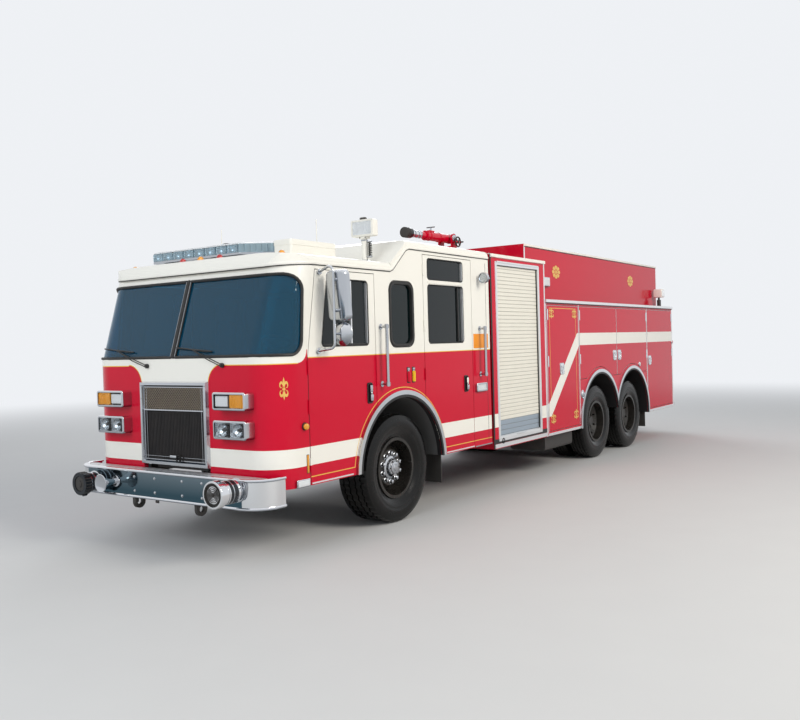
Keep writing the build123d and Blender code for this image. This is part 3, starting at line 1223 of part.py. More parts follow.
def gun_barrel():
    """Barrel with its trunnion and a flared nozzle, pointing forwards at rest."""
    reach = FORK_INNER - RUNNING_CLEARANCE
    trunnion = disc_x(24, GUN_X - reach, GUN_X + reach, GUN_STATION, GUN_PIVOT)
    body = disc_y(55, GUN_STATION - 520, GUN_STATION + 60, GUN_X, GUN_PIVOT)
    nozzle = disc_y(42, GUN_STATION - 860, GUN_STATION - 519, GUN_X, GUN_PIVOT)
    tip = disc_y(62, GUN_STATION - 980, GUN_STATION - 859, GUN_X, GUN_PIVOT)
    tip = tip - disc_y(GUN_BORE, GUN_STATION - 990, GUN_STATION - 900, GUN_X, GUN_PIVOT)
    return trunnion + body + nozzle + tip


def gun_riser():
    riser = disc_z(58, PUMP_TOP, GUN_BASE_TOP, GUN_X, GUN_STATION)
    return riser + disc_z(95, PUMP_TOP, PUMP_TOP + 24, GUN_X, GUN_STATION)


def main():
    write("frame_rails", frame_rails())
    write("front_axle", front_axle())
    write("rear_axles", rear_axles())
    write("drivetrain", drivetrain())
    write("chassis_fittings", chassis_fittings())
    write("cab_shell", cab_shell())
    write("cab_floor", cab_floor())
    write("cab_glass", cab_glass())
    write("cab_interior", cab_interior())
    write("seats", seats())
    write("grille", grille())
    write("lamp_bezels", lamp_bezels())
    write("lamp_lenses", lamp_lenses())
    write("bumper", bumper())
    write("tread_decks", tread_decks())
    write("bumper_fittings", bumper_fittings())
    write("wipers", wipers())
    write("rails_and_ladder", rails_and_ladder())
    write("lightbar", lightbar())
    write("roof_units", group(roof_units(), gun_riser()))
    write("arch_trims", arch_trims())
    write("pump_house", pump_house())
    write("shutters", shutters())
    write("body_shell", body_shell())
    write("tank_and_hose_bed", tank_and_hose_bed())
    write("mast_head", mast_head())
    write("gun_base", gun_base())
    write("gun_barrel", gun_barrel())

    low_window, high_window = crew_windows()
    moving = {
        "front_door": front_door_panel(),
        "front_door_glass": pane(front_window()),
        "mirror": mirror_assembly(),
        "crew_door": crew_door_panel(),
        "crew_door_glass": group(pane(low_window), pane(high_window)),
        "knuckle": knuckle(),
        "front_tyre": front_tyre(),
        "front_rim": front_rim(),
    }
    for number, station in enumerate(REAR_AXLES, 1):
        moving[f"rear_tyres_{number}"] = rear_tyres(station)
        moving[f"rear_rims_{number}"] = rear_rims(station)
    for name, *sizes in LOCKER_DOORS:
        moving[f"locker_door_{name}"] = locker_panel(*sizes)
    for name, shape in moving.items():
        write(f"{name}_left", shape)
        write(f"{name}_right", mirrored(shape))


if __name__ == "__main__":
    main()
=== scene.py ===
import json
from functools import reduce
from math import asin, cos, pi, radians, sin, tan

import bmesh
import bpy
from mathutils import Matrix, Vector

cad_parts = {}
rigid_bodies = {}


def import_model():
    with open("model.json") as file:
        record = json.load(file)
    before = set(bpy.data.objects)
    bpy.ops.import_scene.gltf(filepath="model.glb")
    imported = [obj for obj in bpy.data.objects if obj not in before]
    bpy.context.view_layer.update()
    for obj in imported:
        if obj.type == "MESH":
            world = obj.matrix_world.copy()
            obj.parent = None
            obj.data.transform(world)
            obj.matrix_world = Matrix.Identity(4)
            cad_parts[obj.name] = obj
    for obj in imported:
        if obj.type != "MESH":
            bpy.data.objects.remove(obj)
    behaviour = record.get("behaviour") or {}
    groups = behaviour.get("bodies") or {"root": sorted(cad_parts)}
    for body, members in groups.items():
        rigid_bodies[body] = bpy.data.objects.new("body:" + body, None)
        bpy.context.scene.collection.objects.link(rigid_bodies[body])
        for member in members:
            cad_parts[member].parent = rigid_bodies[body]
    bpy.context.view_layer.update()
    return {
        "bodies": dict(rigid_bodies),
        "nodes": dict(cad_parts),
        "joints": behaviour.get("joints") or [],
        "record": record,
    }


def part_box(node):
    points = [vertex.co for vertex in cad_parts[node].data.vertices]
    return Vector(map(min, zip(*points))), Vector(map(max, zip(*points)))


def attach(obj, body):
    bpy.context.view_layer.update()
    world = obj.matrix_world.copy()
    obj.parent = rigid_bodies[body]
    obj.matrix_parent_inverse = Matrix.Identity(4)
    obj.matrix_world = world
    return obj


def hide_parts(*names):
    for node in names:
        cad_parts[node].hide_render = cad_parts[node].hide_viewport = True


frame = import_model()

NODES = frame["nodes"]

# Places are in metres. A station is a distance behind the cab's flat face.
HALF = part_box("front_door_glass_left")[1].x + 0.022
FACE_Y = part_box("grille")[1].y
SIDES = (("left", 1), ("right", -1))

# Heights of the colour bands on the cab and body, and the width of the gold lines
WAIST_Z = 1.690
BAND_LOW, BAND_HIGH = 0.759, 0.919
BODY_BAND_LOW, BODY_BAND_HIGH = 1.686, 1.859
PIN = 0.008
# Pitch of the shutters' slats and of the three broad ones at their foot
SLAT, BROAD_SLAT, BROAD_SLATS_TOP = 0.0465, 0.060, 0.830
ARCH_RADIUS, ARCH_CENTRE = 0.700, 0.550
FRONT_AXLE = 1.830
REAR_AXLES = (6.990, 8.360)
TYRE_RADIUS = 0.540
BODY_REAR = 10.472
MODULE_HALF = 0.950
# The cab's front leans back between the waist and the eaves, and its corners are round
CORNER_LOW, CORNER_HIGH = 0.300, 0.260
LEAN_LOW, LEAN_HIGH, LEAN = 1.700, 2.486, 0.255


def at(x, station, z):
    return Vector((x, station + FACE_Y, z))


def make_camera():
    """The photograph's camera: place, direction in degrees and focal length in photo pixels."""
    place = at(6.0704, -5.1108, 1.7879)
    yaw, pitch, roll = radians(34.99), radians(-1.14), radians(-1.60)
    focal, width, sensor = 852.1, 800.0, 36.0
    forward = Vector((-sin(yaw) * cos(pitch), cos(yaw) * cos(pitch), sin(pitch)))
    right = forward.cross(Vector((0, 0, 1))).normalized()
    up = right.cross(forward)
    right_rolled = cos(roll) * right + sin(roll) * up
    up_rolled = -sin(roll) * right + cos(roll) * up
    turn = Matrix((right_rolled, up_rolled, -forward)).transposed().to_4x4()
    data = bpy.data.cameras.new("photo_camera")
    data.lens = focal * sensor / width
    data.sensor_width = sensor
    data.clip_end = 200.0
    camera = bpy.data.objects.new("photo_camera", data)
    camera.matrix_world = Matrix.Translation(place) @ turn
    bpy.context.scene.collection.objects.link(camera)
    bpy.context.scene.camera = camera


# Node graphs for materials

class Graph:
    """A material's nodes, with short calls for sums, masks and mixes. A mask is 1 inside."""

    def __init__(self, name):
        self.material = bpy.data.materials.new(name)
        self.material.use_nodes = True
        self.tree = self.material.node_tree
        self.shader = self.tree.nodes["Principled BSDF"]
        self.output = self.tree.nodes["Material Output"]
        self.coords = self.node("ShaderNodeTexCoord").outputs["Object"]
        self.x, self.y, self.z = self.split(self.coords)

    def node(self, kind):
        return self.tree.nodes.new(kind)

    def link(self, source, target):
        self.tree.links.new(source, target)

    def split(self, vector):
        node = self.node("ShaderNodeSeparateXYZ")
        self.link(vector, node.inputs[0])
        return tuple(node.outputs)

    def put(self, value, target):
        """Set a socket to a number or a colour, or link it."""
        if isinstance(value, tuple):
            target.default_value = (*value, 1.0)
        elif isinstance(value, (int, float)):
            target.default_value = value
        else:
            self.link(value, target)

    def set(self, **values):
        for name, value in values.items():
            self.put(value, self.shader.inputs[name.replace("_", " ")])

    def math(self, operation, a, b=0.0):
        node = self.node("ShaderNodeMath")
        node.operation = operation
        self.put(a, node.inputs[0])
        self.put(b, node.inputs[1])
        return node.outputs[0]

    def add(self, a, b):
        return self.math("ADD", a, b)

    def less(self, a, b):
        return self.math("SUBTRACT", a, b)

    def times(self, a, b):
        return self.math("MULTIPLY", a, b)

    def station(self):
        return self.less(self.y, FACE_Y)

    def side(self):
        return self.math("ABSOLUTE", self.x)

    def above(self, value, limit):
        return self.math("GREATER_THAN", value, limit)

    def below(self, value, limit):
        return self.math("LESS_THAN", value, limit)

    def within(self, value, low, high):
        return self.times(self.above(value, low), self.below(value, high))

    def both(self, *masks):
        return reduce(self.times, masks)

    def larger(self, a, b):
        return self.math("MAXIMUM", a, b)

    def either(self, *masks):
        return reduce(self.larger, masks)

    def away(self, mask):
        return self.less(1.0, mask)

    def distance(self, a, a0, b, b0):
        first, second = self.less(a, a0), self.less(b, b0)
        return self.math("SQRT", self.add(self.times(first, first), self.times(second, second)))

    def mix(self, factor, a, b):
        node = self.node("ShaderNodeMix")
        node.data_type = "RGBA"
        self.put(factor, node.inputs[0])
        self.put(a, node.inputs[6])
        self.put(b, node.inputs[7])
        return node.outputs[2]

    def noise(self, scale, detail=3.0, stretch=None):
        node = self.node("ShaderNodeTexNoise")
        node.inputs["Scale"].default_value = scale
        node.inputs["Detail"].default_value = detail
        source = self.coords
        if stretch:
            mapping = self.node("ShaderNodeMapping")
            mapping.inputs["Scale"].default_value = stretch
            self.link(self.coords, mapping.inputs[0])
            source = mapping.outputs[0]
        self.link(source, node.inputs["Vector"])
        return node.outputs["Fac"]

    def spread(self, value, low, high):
        """Map a 0 to 1 value onto low to high."""
        node = self.node("ShaderNodeMapRange")
        self.put(value, node.inputs[0])
        node.inputs[3].default_value = low
        node.inputs[4].default_value = high
        return node.outputs[0]

    def bump(self, height, strength, distance=0.001):
        node = self.node("ShaderNodeBump")
        node.inputs["Strength"].default_value = strength
        node.inputs["Distance"].default_value = distance
        self.put(height, node.inputs["Height"])
        self.link(node.outputs[0], self.shader.inputs["Normal"])


RED = (0.58, 0.001, 0.024)
WHITE = (0.86, 0.84, 0.77)
GOLD = (0.80, 0.50, 0.09)
UNDERCOAT = (0.012, 0.012, 0.013)
INTERIOR = (0.070, 0.073, 0.078)
AMBER = (1.0, 0.42, 0.02)
LOCKER_METAL = (0.42, 0.43, 0.44)
# How far inside the outer skin a place counts as inside, and outside it as a fitting
SKIN_IN, SKIN_OUT = 0.0015, 0.0012


def gloss_paint(g, colour, metal_mask=None, dull_mask=None):
    """Glossy paint with faint waviness and dust; the masks mark bright fittings and unpainted places."""
    tone = g.mix(g.spread(g.noise(3.0, 4.0), 0.0, 0.02), colour, (0.30, 0.24, 0.22))
    rough = g.spread(g.noise(9.0, 4.0), 0.10, 0.22)
    if metal_mask is not None:
        tone = g.mix(metal_mask, tone, (0.80, 0.81, 0.83))
        g.set(Metallic=metal_mask)
    if dull_mask is not None:
        rough = g.larger(rough, g.times(dull_mask, 0.75))
    g.set(Base_Color=tone, Roughness=rough, Specular_IOR_Level=0.17, Coat_Weight=0.08, Coat_Roughness=0.03)
    g.bump(g.noise(60.0, 2.0), 0.05)
    return g.material


def in_arches(g, stations, radius):
    """Mask of the places within a radius of the wheel arches' centres."""
    return g.either(*[g.below(g.distance(g.station(), station, g.z, ARCH_CENTRE), radius)
                      for station in stations])


def cab_paint():
    """Red below the waist, white above, a white band and gold lines, worked out from the place."""
    g = Graph("cab_paint")
    station, side = g.station(), g.side()
    seam, sill, arch_line = 0.42, 0.655, 0.795
    # The white reaches down round the grille in a curve, and the red rises in one at the corner
    shoulder_x, shoulder_z, shoulder_r = 0.625, 1.470, 0.175
    turn_station, turn_z, turn_r = 0.300, 1.755, 0.110
    front_waist = shoulder_z + shoulder_r
    on_front = g.below(station, 0.40)
    high = g.either(g.above(g.z, WAIST_Z), g.both(on_front, g.above(g.z, front_waist)))
    near = g.both(g.below(side, shoulder_x), g.above(g.z, shoulder_z - 0.02), g.below(station, 0.1))
    from_shoulder = g.distance(side, shoulder_x, g.z, shoulder_z)
    high = g.either(high, g.both(near, g.above(from_shoulder, shoulder_r)))
    corner = g.both(g.within(station, turn_station, seam), g.below(g.z, turn_z), g.above(side, 0.9))
    from_turn = g.distance(station, turn_station, g.z, turn_z)
    high = g.both(high, g.away(g.both(corner, g.above(from_turn, turn_r))))
    colour = g.mix(g.either(high, g.within(g.z, BAND_LOW, BAND_HIGH)), RED, WHITE)
    from_arch = g.distance(station, FRONT_AXLE, g.z, ARCH_CENTRE)
    pins = g.either(
        g.both(g.within(g.z, WAIST_Z - PIN, WAIST_Z), g.above(station, seam)),
        g.both(g.within(g.z, front_waist - PIN, front_waist), g.above(side, shoulder_x),
               g.below(station, turn_station)),
        g.both(g.within(g.z, sill, sill + PIN), g.above(station, seam), g.above(from_arch, arch_line)),
        g.both(g.within(from_arch, arch_line, arch_line + PIN), g.above(g.z, sill)),
        g.both(near, g.within(from_shoulder, shoulder_r, shoulder_r + PIN)))
    colour = g.mix(pins, colour, GOLD)
    # The band and lines stay on the outer skin
    outer = g.above(side, HALF - SKIN_IN)
    colour = g.mix(g.away(g.either(outer, on_front, g.above(g.z, 2.40))), colour, g.mix(high, RED, WHITE))
    leaning = g.times(g.larger(g.less(g.z, LEAN_LOW), 0.0), LEAN / (LEAN_HIGH - LEAN_LOW))
    from_face = g.less(station, leaning)
    in_corner = g.both(g.above(side, HALF - CORNER_LOW), g.below(from_face, CORNER_LOW))
    corner_reach = g.distance(side, HALF - CORNER_LOW, from_face, CORNER_LOW)
    behind_skin = g.both(g.above(from_face, 0.045), g.either(g.away(in_corner), g.below(corner_reach, 0.280)))
    under_roof = g.either(g.below(g.z, 2.470), g.both(g.above(station, 1.99), g.below(g.z, 2.715)))
    inside = g.both(g.below(side, HALF - 0.042), behind_skin, under_roof, g.below(station, 3.60))
    colour = g.mix(inside, colour, INTERIOR)
    wheel_box = g.both(in_arches(g, (FRONT_AXLE,), ARCH_RADIUS + 0.006), g.below(side, HALF - SKIN_IN))
    handle = g.both(g.above(side, HALF + SKIN_OUT), g.within(g.z, 1.22, 1.43),
                    g.either(g.within(station, 1.22, 1.36), g.within(station, 3.00, 3.14)))
    colour = g.mix(g.either(wheel_box, handle), colour, UNDERCOAT)
    return gloss_paint(g, colour, None, g.either(inside, wheel_box))


def body_paint():
    """Red body with the white band that steps up behind the pump house, and a gold frame."""
    g = Graph("body_paint")
    station, side = g.station(), g.side()
    on_skin = g.above(side, HALF - 0.002)
    step_start, step_end, low_end = 5.20, 6.175, 5.20
    slope = (BODY_BAND_HIGH - BAND_HIGH) / (step_end - step_start)
    under = g.less(g.add(g.times(g.less(station, step_start), slope), BAND_HIGH), g.z)
    diagonal = g.both(g.within(under, 0.0, 0.235), g.within(station, 5.10, 6.30),
                      g.within(g.z, BAND_LOW, BODY_BAND_HIGH))
    level = g.both(g.within(g.z, BODY_BAND_LOW, BODY_BAND_HIGH), g.above(station, step_end))
    first = g.both(g.within(g.z, BAND_LOW, BAND_HIGH), g.below(station, low_end))
    colour = g.mix(g.both(on_skin, g.either(diagonal, level, first)), RED, WHITE)
    a0, a1, b0, b1 = 5.275, 6.135, 0.66, 2.200
    outer = g.both(g.within(station, a0, a1), g.within(g.z, b0, b1))
    inner = g.both(g.within(station, a0 + PIN, a1 - PIN), g.within(g.z, b0 + PIN, b1 - PIN))
    gold_frame = g.both(outer, g.away(inner), g.above(g.z, BAND_LOW))
    colour = g.mix(g.both(on_skin, gold_frame, g.away(diagonal)), colour, GOLD)
    within_walls = g.below(side, HALF - SKIN_IN)
    wheel_box = g.both(in_arches(g, REAR_AXLES, ARCH_RADIUS + 0.006), within_walls)
    locker = g.both(within_walls, g.above(side, 0.60), g.within(station, 5.19, 10.44),
                    g.within(g.z, 0.54, 2.25))
    colour = g.mix(g.both(locker, g.away(wheel_box)), colour, LOCKER_METAL)
    colour = g.mix(wheel_box, colour, UNDERCOAT)
    return gloss_paint(g, colour, g.above(side, HALF + SKIN_OUT), g.either(wheel_box, locker))


def plain_paint(name, colour):
    return gloss_paint(Graph(name), colour)


def chrome(name="chrome_plate", tone=0.80, rough=0.05):
    """Plated metal with a painted reflection: its base colour is painted light where it faces up and dark,
    like the ground below, where it faces down.
    """
    g = Graph(name)
    smear = g.spread(g.noise(14.0, 4.0), rough, rough + 0.10)
    up = g.split(g.node("ShaderNodeNewGeometry").outputs["Normal"])[2]
    # Painted reflection: light base colour on upward faces, dark base colour on downward faces.
    painted_sky_share = g.math("MINIMUM", g.larger(g.add(g.times(up, 0.75), 0.55), 0.0), 1.0)
    painted_road_colour = (tone * 0.26, tone * 0.30, tone * 0.35)
    g.set(Base_Color=g.mix(painted_sky_share, painted_road_colour, (tone, tone * 1.01, tone * 1.035)), Metallic=1.0, Roughness=smear)
    return g.material


def bumper_metal():
    """Polished steel with a painted reflection: its flat front is painted dark, lighter towards the top, as a
    reflection of the ground below, and it is brighter at the corners.
    """
    g = Graph("polished_bumper")
    front = g.both(g.below(g.station(), -0.196), g.below(g.side(), 1.02), g.below(g.z, 0.700))
    # Painted reflection: the flat front's dark base colour, lighter higher up.
    dark = g.mix(g.spread(g.z, -1.6, 1.5), (0.05, 0.10, 0.13), (0.30, 0.36, 0.40))
    g.set(Base_Color=g.mix(front, (0.74, 0.75, 0.77), dark), Metallic=1.0,
          Roughness=g.spread(g.noise(12.0, 4.0), 0.04, 0.13))
    return g.material


def fitting_metal():
    """Chrome fittings; the suction inlet is black and the siren has a dark ring behind its rim."""
    g = Graph("bumper_fitting_metal")
    inlet = g.both(g.below(g.x, -0.76), g.below(g.station(), -0.2))
    ring = g.both(g.above(g.x, 0.80), g.within(g.station(), -0.345, -0.262))
    dark = g.either(inlet, ring)
    g.set(Base_Color=g.mix(dark, (0.76, 0.77, 0.79), (0.030, 0.034, 0.040)),
          Metallic=g.spread(dark, 1.0, 0.55), Roughness=g.spread(g.noise(16.0), 0.05, 0.20))
    return g.material


def arch_trim_metal():
    """Polished band of each arch with a black rubber lip inside it."""
    g = Graph("arch_trim_metal")
    lip = in_arches(g, (FRONT_AXLE, *REAR_AXLES), ARCH_RADIUS + 0.026)
    g.set(Base_Color=g.mix(lip, (0.66, 0.68, 0.70), UNDERCOAT), Metallic=g.away(lip),
          Roughness=g.larger(g.spread(g.noise(10.0, 4.0), 0.12, 0.26), g.times(lip, 0.5)))
    return g.material


def brushed(name, tone, rough=0.26, stretch=(2.0, 2.0, 60.0)):
    g = Graph(name)
    grain = g.noise(18.0, 3.0, stretch)
    colour = g.mix(g.spread(grain, 0.0, 0.30), (tone, tone * 1.01, tone * 1.02),
                   (tone * 0.78, tone * 0.79, tone * 0.80))
    g.set(Base_Color=colour, Metallic=0.75, Roughness=g.spread(grain, rough, rough + 0.12))
    g.bump(grain, 0.06)
    return g.material


def two_tone(name, first, second, metal, smooth, rough, scale, detail):
    """Metal whose noise blends two colours and two degrees of roughness."""
    g = Graph(name)
    grain = g.noise(scale, detail)
    g.set(Base_Color=g.mix(grain, first, second), Metallic=metal, Roughness=g.spread(grain, smooth, rough))
    return g.material


def radiator_black():
    """Radiator core: upright fins in dull black."""
    g = Graph("radiator_core")
    fins = g.math("SINE", g.times(g.x, 900.0))
    dust = g.spread(g.noise(9.0, 5.0), 0.0, 0.7)
    g.set(Base_Color=g.mix(dust, (0.010, 0.011, 0.013), (0.040, 0.032, 0.028)), Roughness=0.55)
    g.bump(fins, 0.5, 0.002)
    return g.material


def rubber(name="black_rubber", tone=0.018, rough=0.55, dusty=0.25, shine=0.36, grain=0.12):
    g = Graph(name)
    colour = g.mix(g.spread(g.noise(22.0, 5.0), 0.0, dusty), (tone, tone, tone), (0.10, 0.095, 0.09))
    g.set(Base_Color=colour, Roughness=g.spread(g.noise(40.0), rough - 0.08, rough + 0.12),
          Specular_IOR_Level=shine)
    g.bump(g.noise(220.0, 2.0), grain)
    return g.material


def dark_steel(name, tone=0.03, rough=0.42, metal=0.3):
    g = Graph(name)
    grime = g.noise(7.0, 6.0)
    g.set(Base_Color=g.mix(g.spread(grime, 0.0, 0.6), (tone, tone, tone), (0.085, 0.075, 0.065)),
          Roughness=g.spread(grime, rough, rough + 0.25), Metallic=metal)
    g.bump(g.noise(90.0, 4.0), 0.15)
    return g.material


def glaze(g, colour, rough, through, shine):
    """Glass; a share below 1 lets less light through and gives the pane a body colour."""
    g.set(Base_Color=colour, IOR=1.45, Roughness=g.spread(g.noise(5.0, 3.0), rough, rough + 0.02),
          Transmission_Weight=through, Specular_IOR_Level=shine)
    return g.material


def glass(name, colour, rough=0.0, through=1.0, shine=0.5):
    return glaze(Graph(name), colour, rough, through, shine)


def cab_glass_tint():
    """Teal windshield, deeper towards its top, and darker green-grey side windows."""
    g = Graph("cab_glass_tint")
    teal = g.mix(g.spread(g.z, 3.4, -1.9), (0.004, 0.160, 0.290), (0.012, 0.400, 0.520))
    return glaze(g, g.mix(g.above(g.station(), 1.2), teal, (0.003, 0.022, 0.024)), 0.0, 0.78, 0.10)


def lens(name, colour, ribs, through=0.55):
    """A moulded lamp lens: coloured plastic with fine flutes."""
    g = Graph(name)
    g.set(Base_Color=colour, IOR=1.49, Transmission_Weight=through, Coat_Weight=0.5,
          Roughness=g.spread(g.noise(30.0), 0.08, 0.18))
    g.bump(g.math("SINE", g.times(g.x, ribs)), 0.6, 0.002)
    return g.material


def cloth_material():
    g = Graph("seat_cloth")
    weave = g.noise(420.0, 2.0)
    g.set(Base_Color=g.mix(weave, (0.065, 0.072, 0.085), (0.150, 0.160, 0.180)), Roughness=0.85,
          Sheen_Weight=0.3)
    g.bump(weave, 0.35)
    return g.material


def slat_paint():
    """Shutter slats: cream white aluminium with a thin line of painted shade between each pair of slats."""
    g = Graph("shutter_paint")
    wear = g.noise(6.0, 5.0)
    colour = g.mix(g.spread(wear, 0.0, 0.25), (0.83, 0.80, 0.70), (0.60, 0.58, 0.52))
    low_bar = g.both(g.below(g.z, BROAD_SLATS_TOP), g.above(g.side(), 1.0))
    colour = g.mix(low_bar, colour, (0.36, 0.43, 0.50))
    phases = [g.math("FRACT", g.math("DIVIDE", g.less(g.z, start), pitch))
              for start, pitch in ((BROAD_SLATS_TOP, SLAT), (BROAD_SLATS_TOP - 2 * BROAD_SLAT, BROAD_SLAT))]
    phase = g.mix(low_bar, *phases)
    # Painted shade: a thin dark line in the groove between slats.
    painted_joint_shade = g.either(g.below(phase, 0.07), g.above(phase, 0.93))
    g.set(Base_Color=g.mix(g.times(painted_joint_shade, 0.55), colour, (0.20, 0.20, 0.19)),
          Roughness=g.spread(wear, 0.26, 0.40), Metallic=g.times(low_bar, 0.5))
    return g.material


def gun_metal():
    """Barrel with a black nozzle, a chrome stream shaper and a red body."""
    g = Graph("gun_finish")
    station = g.station()
    bright = g.either(g.within(station, 3.50, 3.70), g.above(station, 4.40))
    colour = g.mix(bright, g.mix(g.below(station, 3.50), RED, UNDERCOAT), (0.78, 0.79, 0.80))
    g.set(Base_Color=colour, Metallic=bright, Roughness=g.spread(g.noise(16.0), 0.10, 0.28))
    return g.material


MATERIALS = {
    "cab": cab_paint(),
    "body": body_paint(),
    "red": plain_paint("red_paint", RED),
    "white": plain_paint("white_paint", WHITE),
    "yellow": plain_paint("yellow_paint", (0.80, 0.50, 0.02)),
    "orange": plain_paint("orange_paint", (0.85, 0.30, 0.03)),
    "chrome": chrome(),
    "satin_chrome": chrome("satin_chrome", 0.72, 0.16),
    "mirror": chrome("mirror_glass", 0.90, 0.01),
    "aluminium": brushed("brushed_aluminium", 0.84),
    "tread": brushed("tread_aluminium", 0.62, 0.28, (6.0, 6.0, 6.0)),
    "bumper": bumper_metal(),
    "fitting": fitting_metal(),
    "arch": arch_trim_metal(),
    # The screen wire's brownish colours are a painted reflection on the grille's mesh.
    "screen": two_tone("screen_wire", (0.22, 0.18, 0.14), (0.44, 0.37, 0.29), 0.7, 0.30, 0.50, 30.0, 4.0),
    "gold": two_tone("gold_leaf", (0.72, 0.42, 0.07), (0.90, 0.62, 0.18), 0.35, 0.26, 0.44, 60.0, 3.0),
    "radiator": radiator_black(),
    "black": dark_steel("black_steel"),
    "rim": dark_steel("rim_black", 0.006, 0.16, 0.3),
    "grey": dark_steel("driveline_grey", 0.12, 0.5, 0.4),
    "rubber": rubber(),
    "tyre": rubber("tyre_rubber", 0.0035, 0.22, 0.04, 0.24, 0.02),
    "plastic": rubber("black_plastic", 0.014, 0.38),
    "interior": rubber("interior_grey", 0.085, 0.60),
    "cab_glass": cab_glass_tint(),
    "glass": glass("tinted_glass", (0.006, 0.020, 0.024), through=0.80, shine=0.12),
    "bar_glass": glass("bar_glass", (0.55, 0.74, 0.84), 0.04, 0.62),
    "clear": glass("clear_lens", (0.90, 0.95, 0.97), 0.03),
    "amber": lens("amber_lens", AMBER, 700.0, 0.30),
    "red_lens": lens("red_lens", (0.75, 0.01, 0.01), 700.0),
    "white_lens": lens("white_lens", (0.90, 0.93, 0.95), 900.0, 0.20),
    "cloth": cloth_material(),
    "slats": slat_paint(),
    "gun": gun_metal(),
}

# Nodes of each material; a name without its side stands for both sides
FINISHES = {
    "cab": ("cab_shell", "front_door", "crew_door"),
    "body": ("pump_house", "body_shell", "locker_door_front", "locker_door_over_wheel_front",
             "locker_door_over_wheel_rear", "locker_door_rear"),
    "red": ("tank_and_hose_bed", "gun_base"),
    "white": ("roof_units", "mast_head"),
    "chrome": ("grille", "lamp_bezels", "mirror"),
    "satin_chrome": ("rails_and_ladder",),
    "tread": ("tread_decks",),
    "bumper": ("bumper",),
    "fitting": ("bumper_fittings",),
    "arch": ("arch_trims",),
    "black": ("frame_rails", "front_axle", "rear_axles", "chassis_fittings", "knuckle"),
    "rim": ("front_rim", "rear_rims_1", "rear_rims_2"),
    "grey": ("drivetrain",),
    "tyre": ("front_tyre", "rear_tyres_1", "rear_tyres_2"),
    "plastic": ("wipers",),
    "interior": ("cab_floor", "cab_interior"),
    "cab_glass": ("cab_glass",),
    "glass": ("front_door_glass", "crew_door_glass"),
    "clear": ("lightbar",),
    "white_lens": ("lamp_lenses",),
    "cloth": ("seats",),
    "slats": ("shutters",),
    "gun": ("gun_barrel",),
}


def finish_nodes():
    """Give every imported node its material."""
    for key, names in FINISHES.items():
        for name in names:
            for node in (name, f"{name}_left", f"{name}_right"):
                if node in NODES:
                    slots = NODES[node].data.materials
                    slots.clear()
                    slots.append(MATERIALS[key])


# Floor, surroundings and lamps

# Size of the floor, and the distances at which it starts to fade and is gone
FLOOR_HALF, FLOOR_CLEAR, FLOOR_GONE = 90.0, 9.0, 24.0
PALE = (0.86, 0.88, 0.91, 1.0)
LAMP_AIM = Vector((0, -1.0, 1.2))
LAMPS = (
    # name, place, size, power, colour, shows in glossy surfaces
    ("key", (13.0, -3.0, 9.0), 6.0, 1280.0, (1.0, 0.95, 0.87), True),
    ("front", (1.0, -15.0, 6.0), 7.0, 620.0, (0.92, 0.96, 1.0), False),
    ("back", (-9.0, 10.0, 9.0), 8.0, 700.0, (0.95, 0.97, 1.0), True),
)


def seen_rays(tree):
    """Mask of the rays that show the surroundings: from the camera, mirrors and glass."""
    path = tree.nodes.new("ShaderNodeLightPath")
    result = path.outputs["Is Camera Ray"]
    for name in ("Is Glossy Ray", "Is Transmission Ray"):
        larger = tree.nodes.new("ShaderNodeMath")
        larger.operation = "MAXIMUM"
        tree.links.new(result, larger.inputs[0])
        tree.links.new(path.outputs[name], larger.inputs[1])
        result = larger.outputs[0]
    return result


def make_floor():
    """A grey floor that fades into the pale surroundings with distance."""
    mesh = bpy.data.meshes.new("floor")
    corners = [(x * FLOOR_HALF, y * FLOOR_HALF, 0) for x, y in ((-1, -1), (1, -1), (1, 1), (-1, 1))]
    mesh.from_pydata(corners, [], [(0, 1, 2, 3)])
    floor = bpy.data.objects.new("floor", mesh)
    bpy.context.scene.collection.objects.link(floor)
    g = Graph("floor")
    grain = g.spread(g.noise(2.0, 6.0), 0.0, 0.3)
    g.set(Base_Color=g.mix(grain, (0.62, 0.62, 0.61), (0.54, 0.54, 0.54)), Roughness=0.75)
    fade = g.node("ShaderNodeMapRange")
    fade.interpolation_type = "SMOOTHSTEP"
    fade.inputs[1].default_value = FLOOR_CLEAR
    fade.inputs[2].default_value = FLOOR_GONE
    g.link(g.distance(g.x, 0.0, g.y, 0.0), fade.inputs[0])
    glow = g.node("ShaderNodeEmission")
    glow.inputs[0].default_value = PALE
    blend = g.node("ShaderNodeMixShader")
    g.link(g.times(fade.outputs[0], seen_rays(g.tree)), blend.inputs[0])
    g.link(g.shader.outputs[0], blend.inputs[1])
    g.link(glow.outputs[0], blend.inputs[2])
    g.link(blend.outputs[0], g.output.inputs[0])
    mesh.materials.append(g.material)


def make_world():
    """Soft grey light, with pale surroundings for the camera, mirrors and glass."""
    world = bpy.data.worlds.new("studio")
    bpy.context.scene.world = world
    world.use_nodes = True
    nodes, links = world.node_tree.nodes, world.node_tree.links
    background = nodes["Background"]
    background.inputs[0].default_value = (0.80, 0.84, 0.90, 1.0)
    background.inputs[1].default_value = 0.55
    shown = nodes.new("ShaderNodeBackground")
    shown.inputs[0].default_value = PALE
    mix = nodes.new("ShaderNodeMixShader")
    links.new(seen_rays(world.node_tree), mix.inputs[0])
    links.new(background.outputs[0], mix.inputs[1])
    links.new(shown.outputs[0], mix.inputs[2])
    links.new(mix.outputs[0], nodes["World Output"].inputs[0])


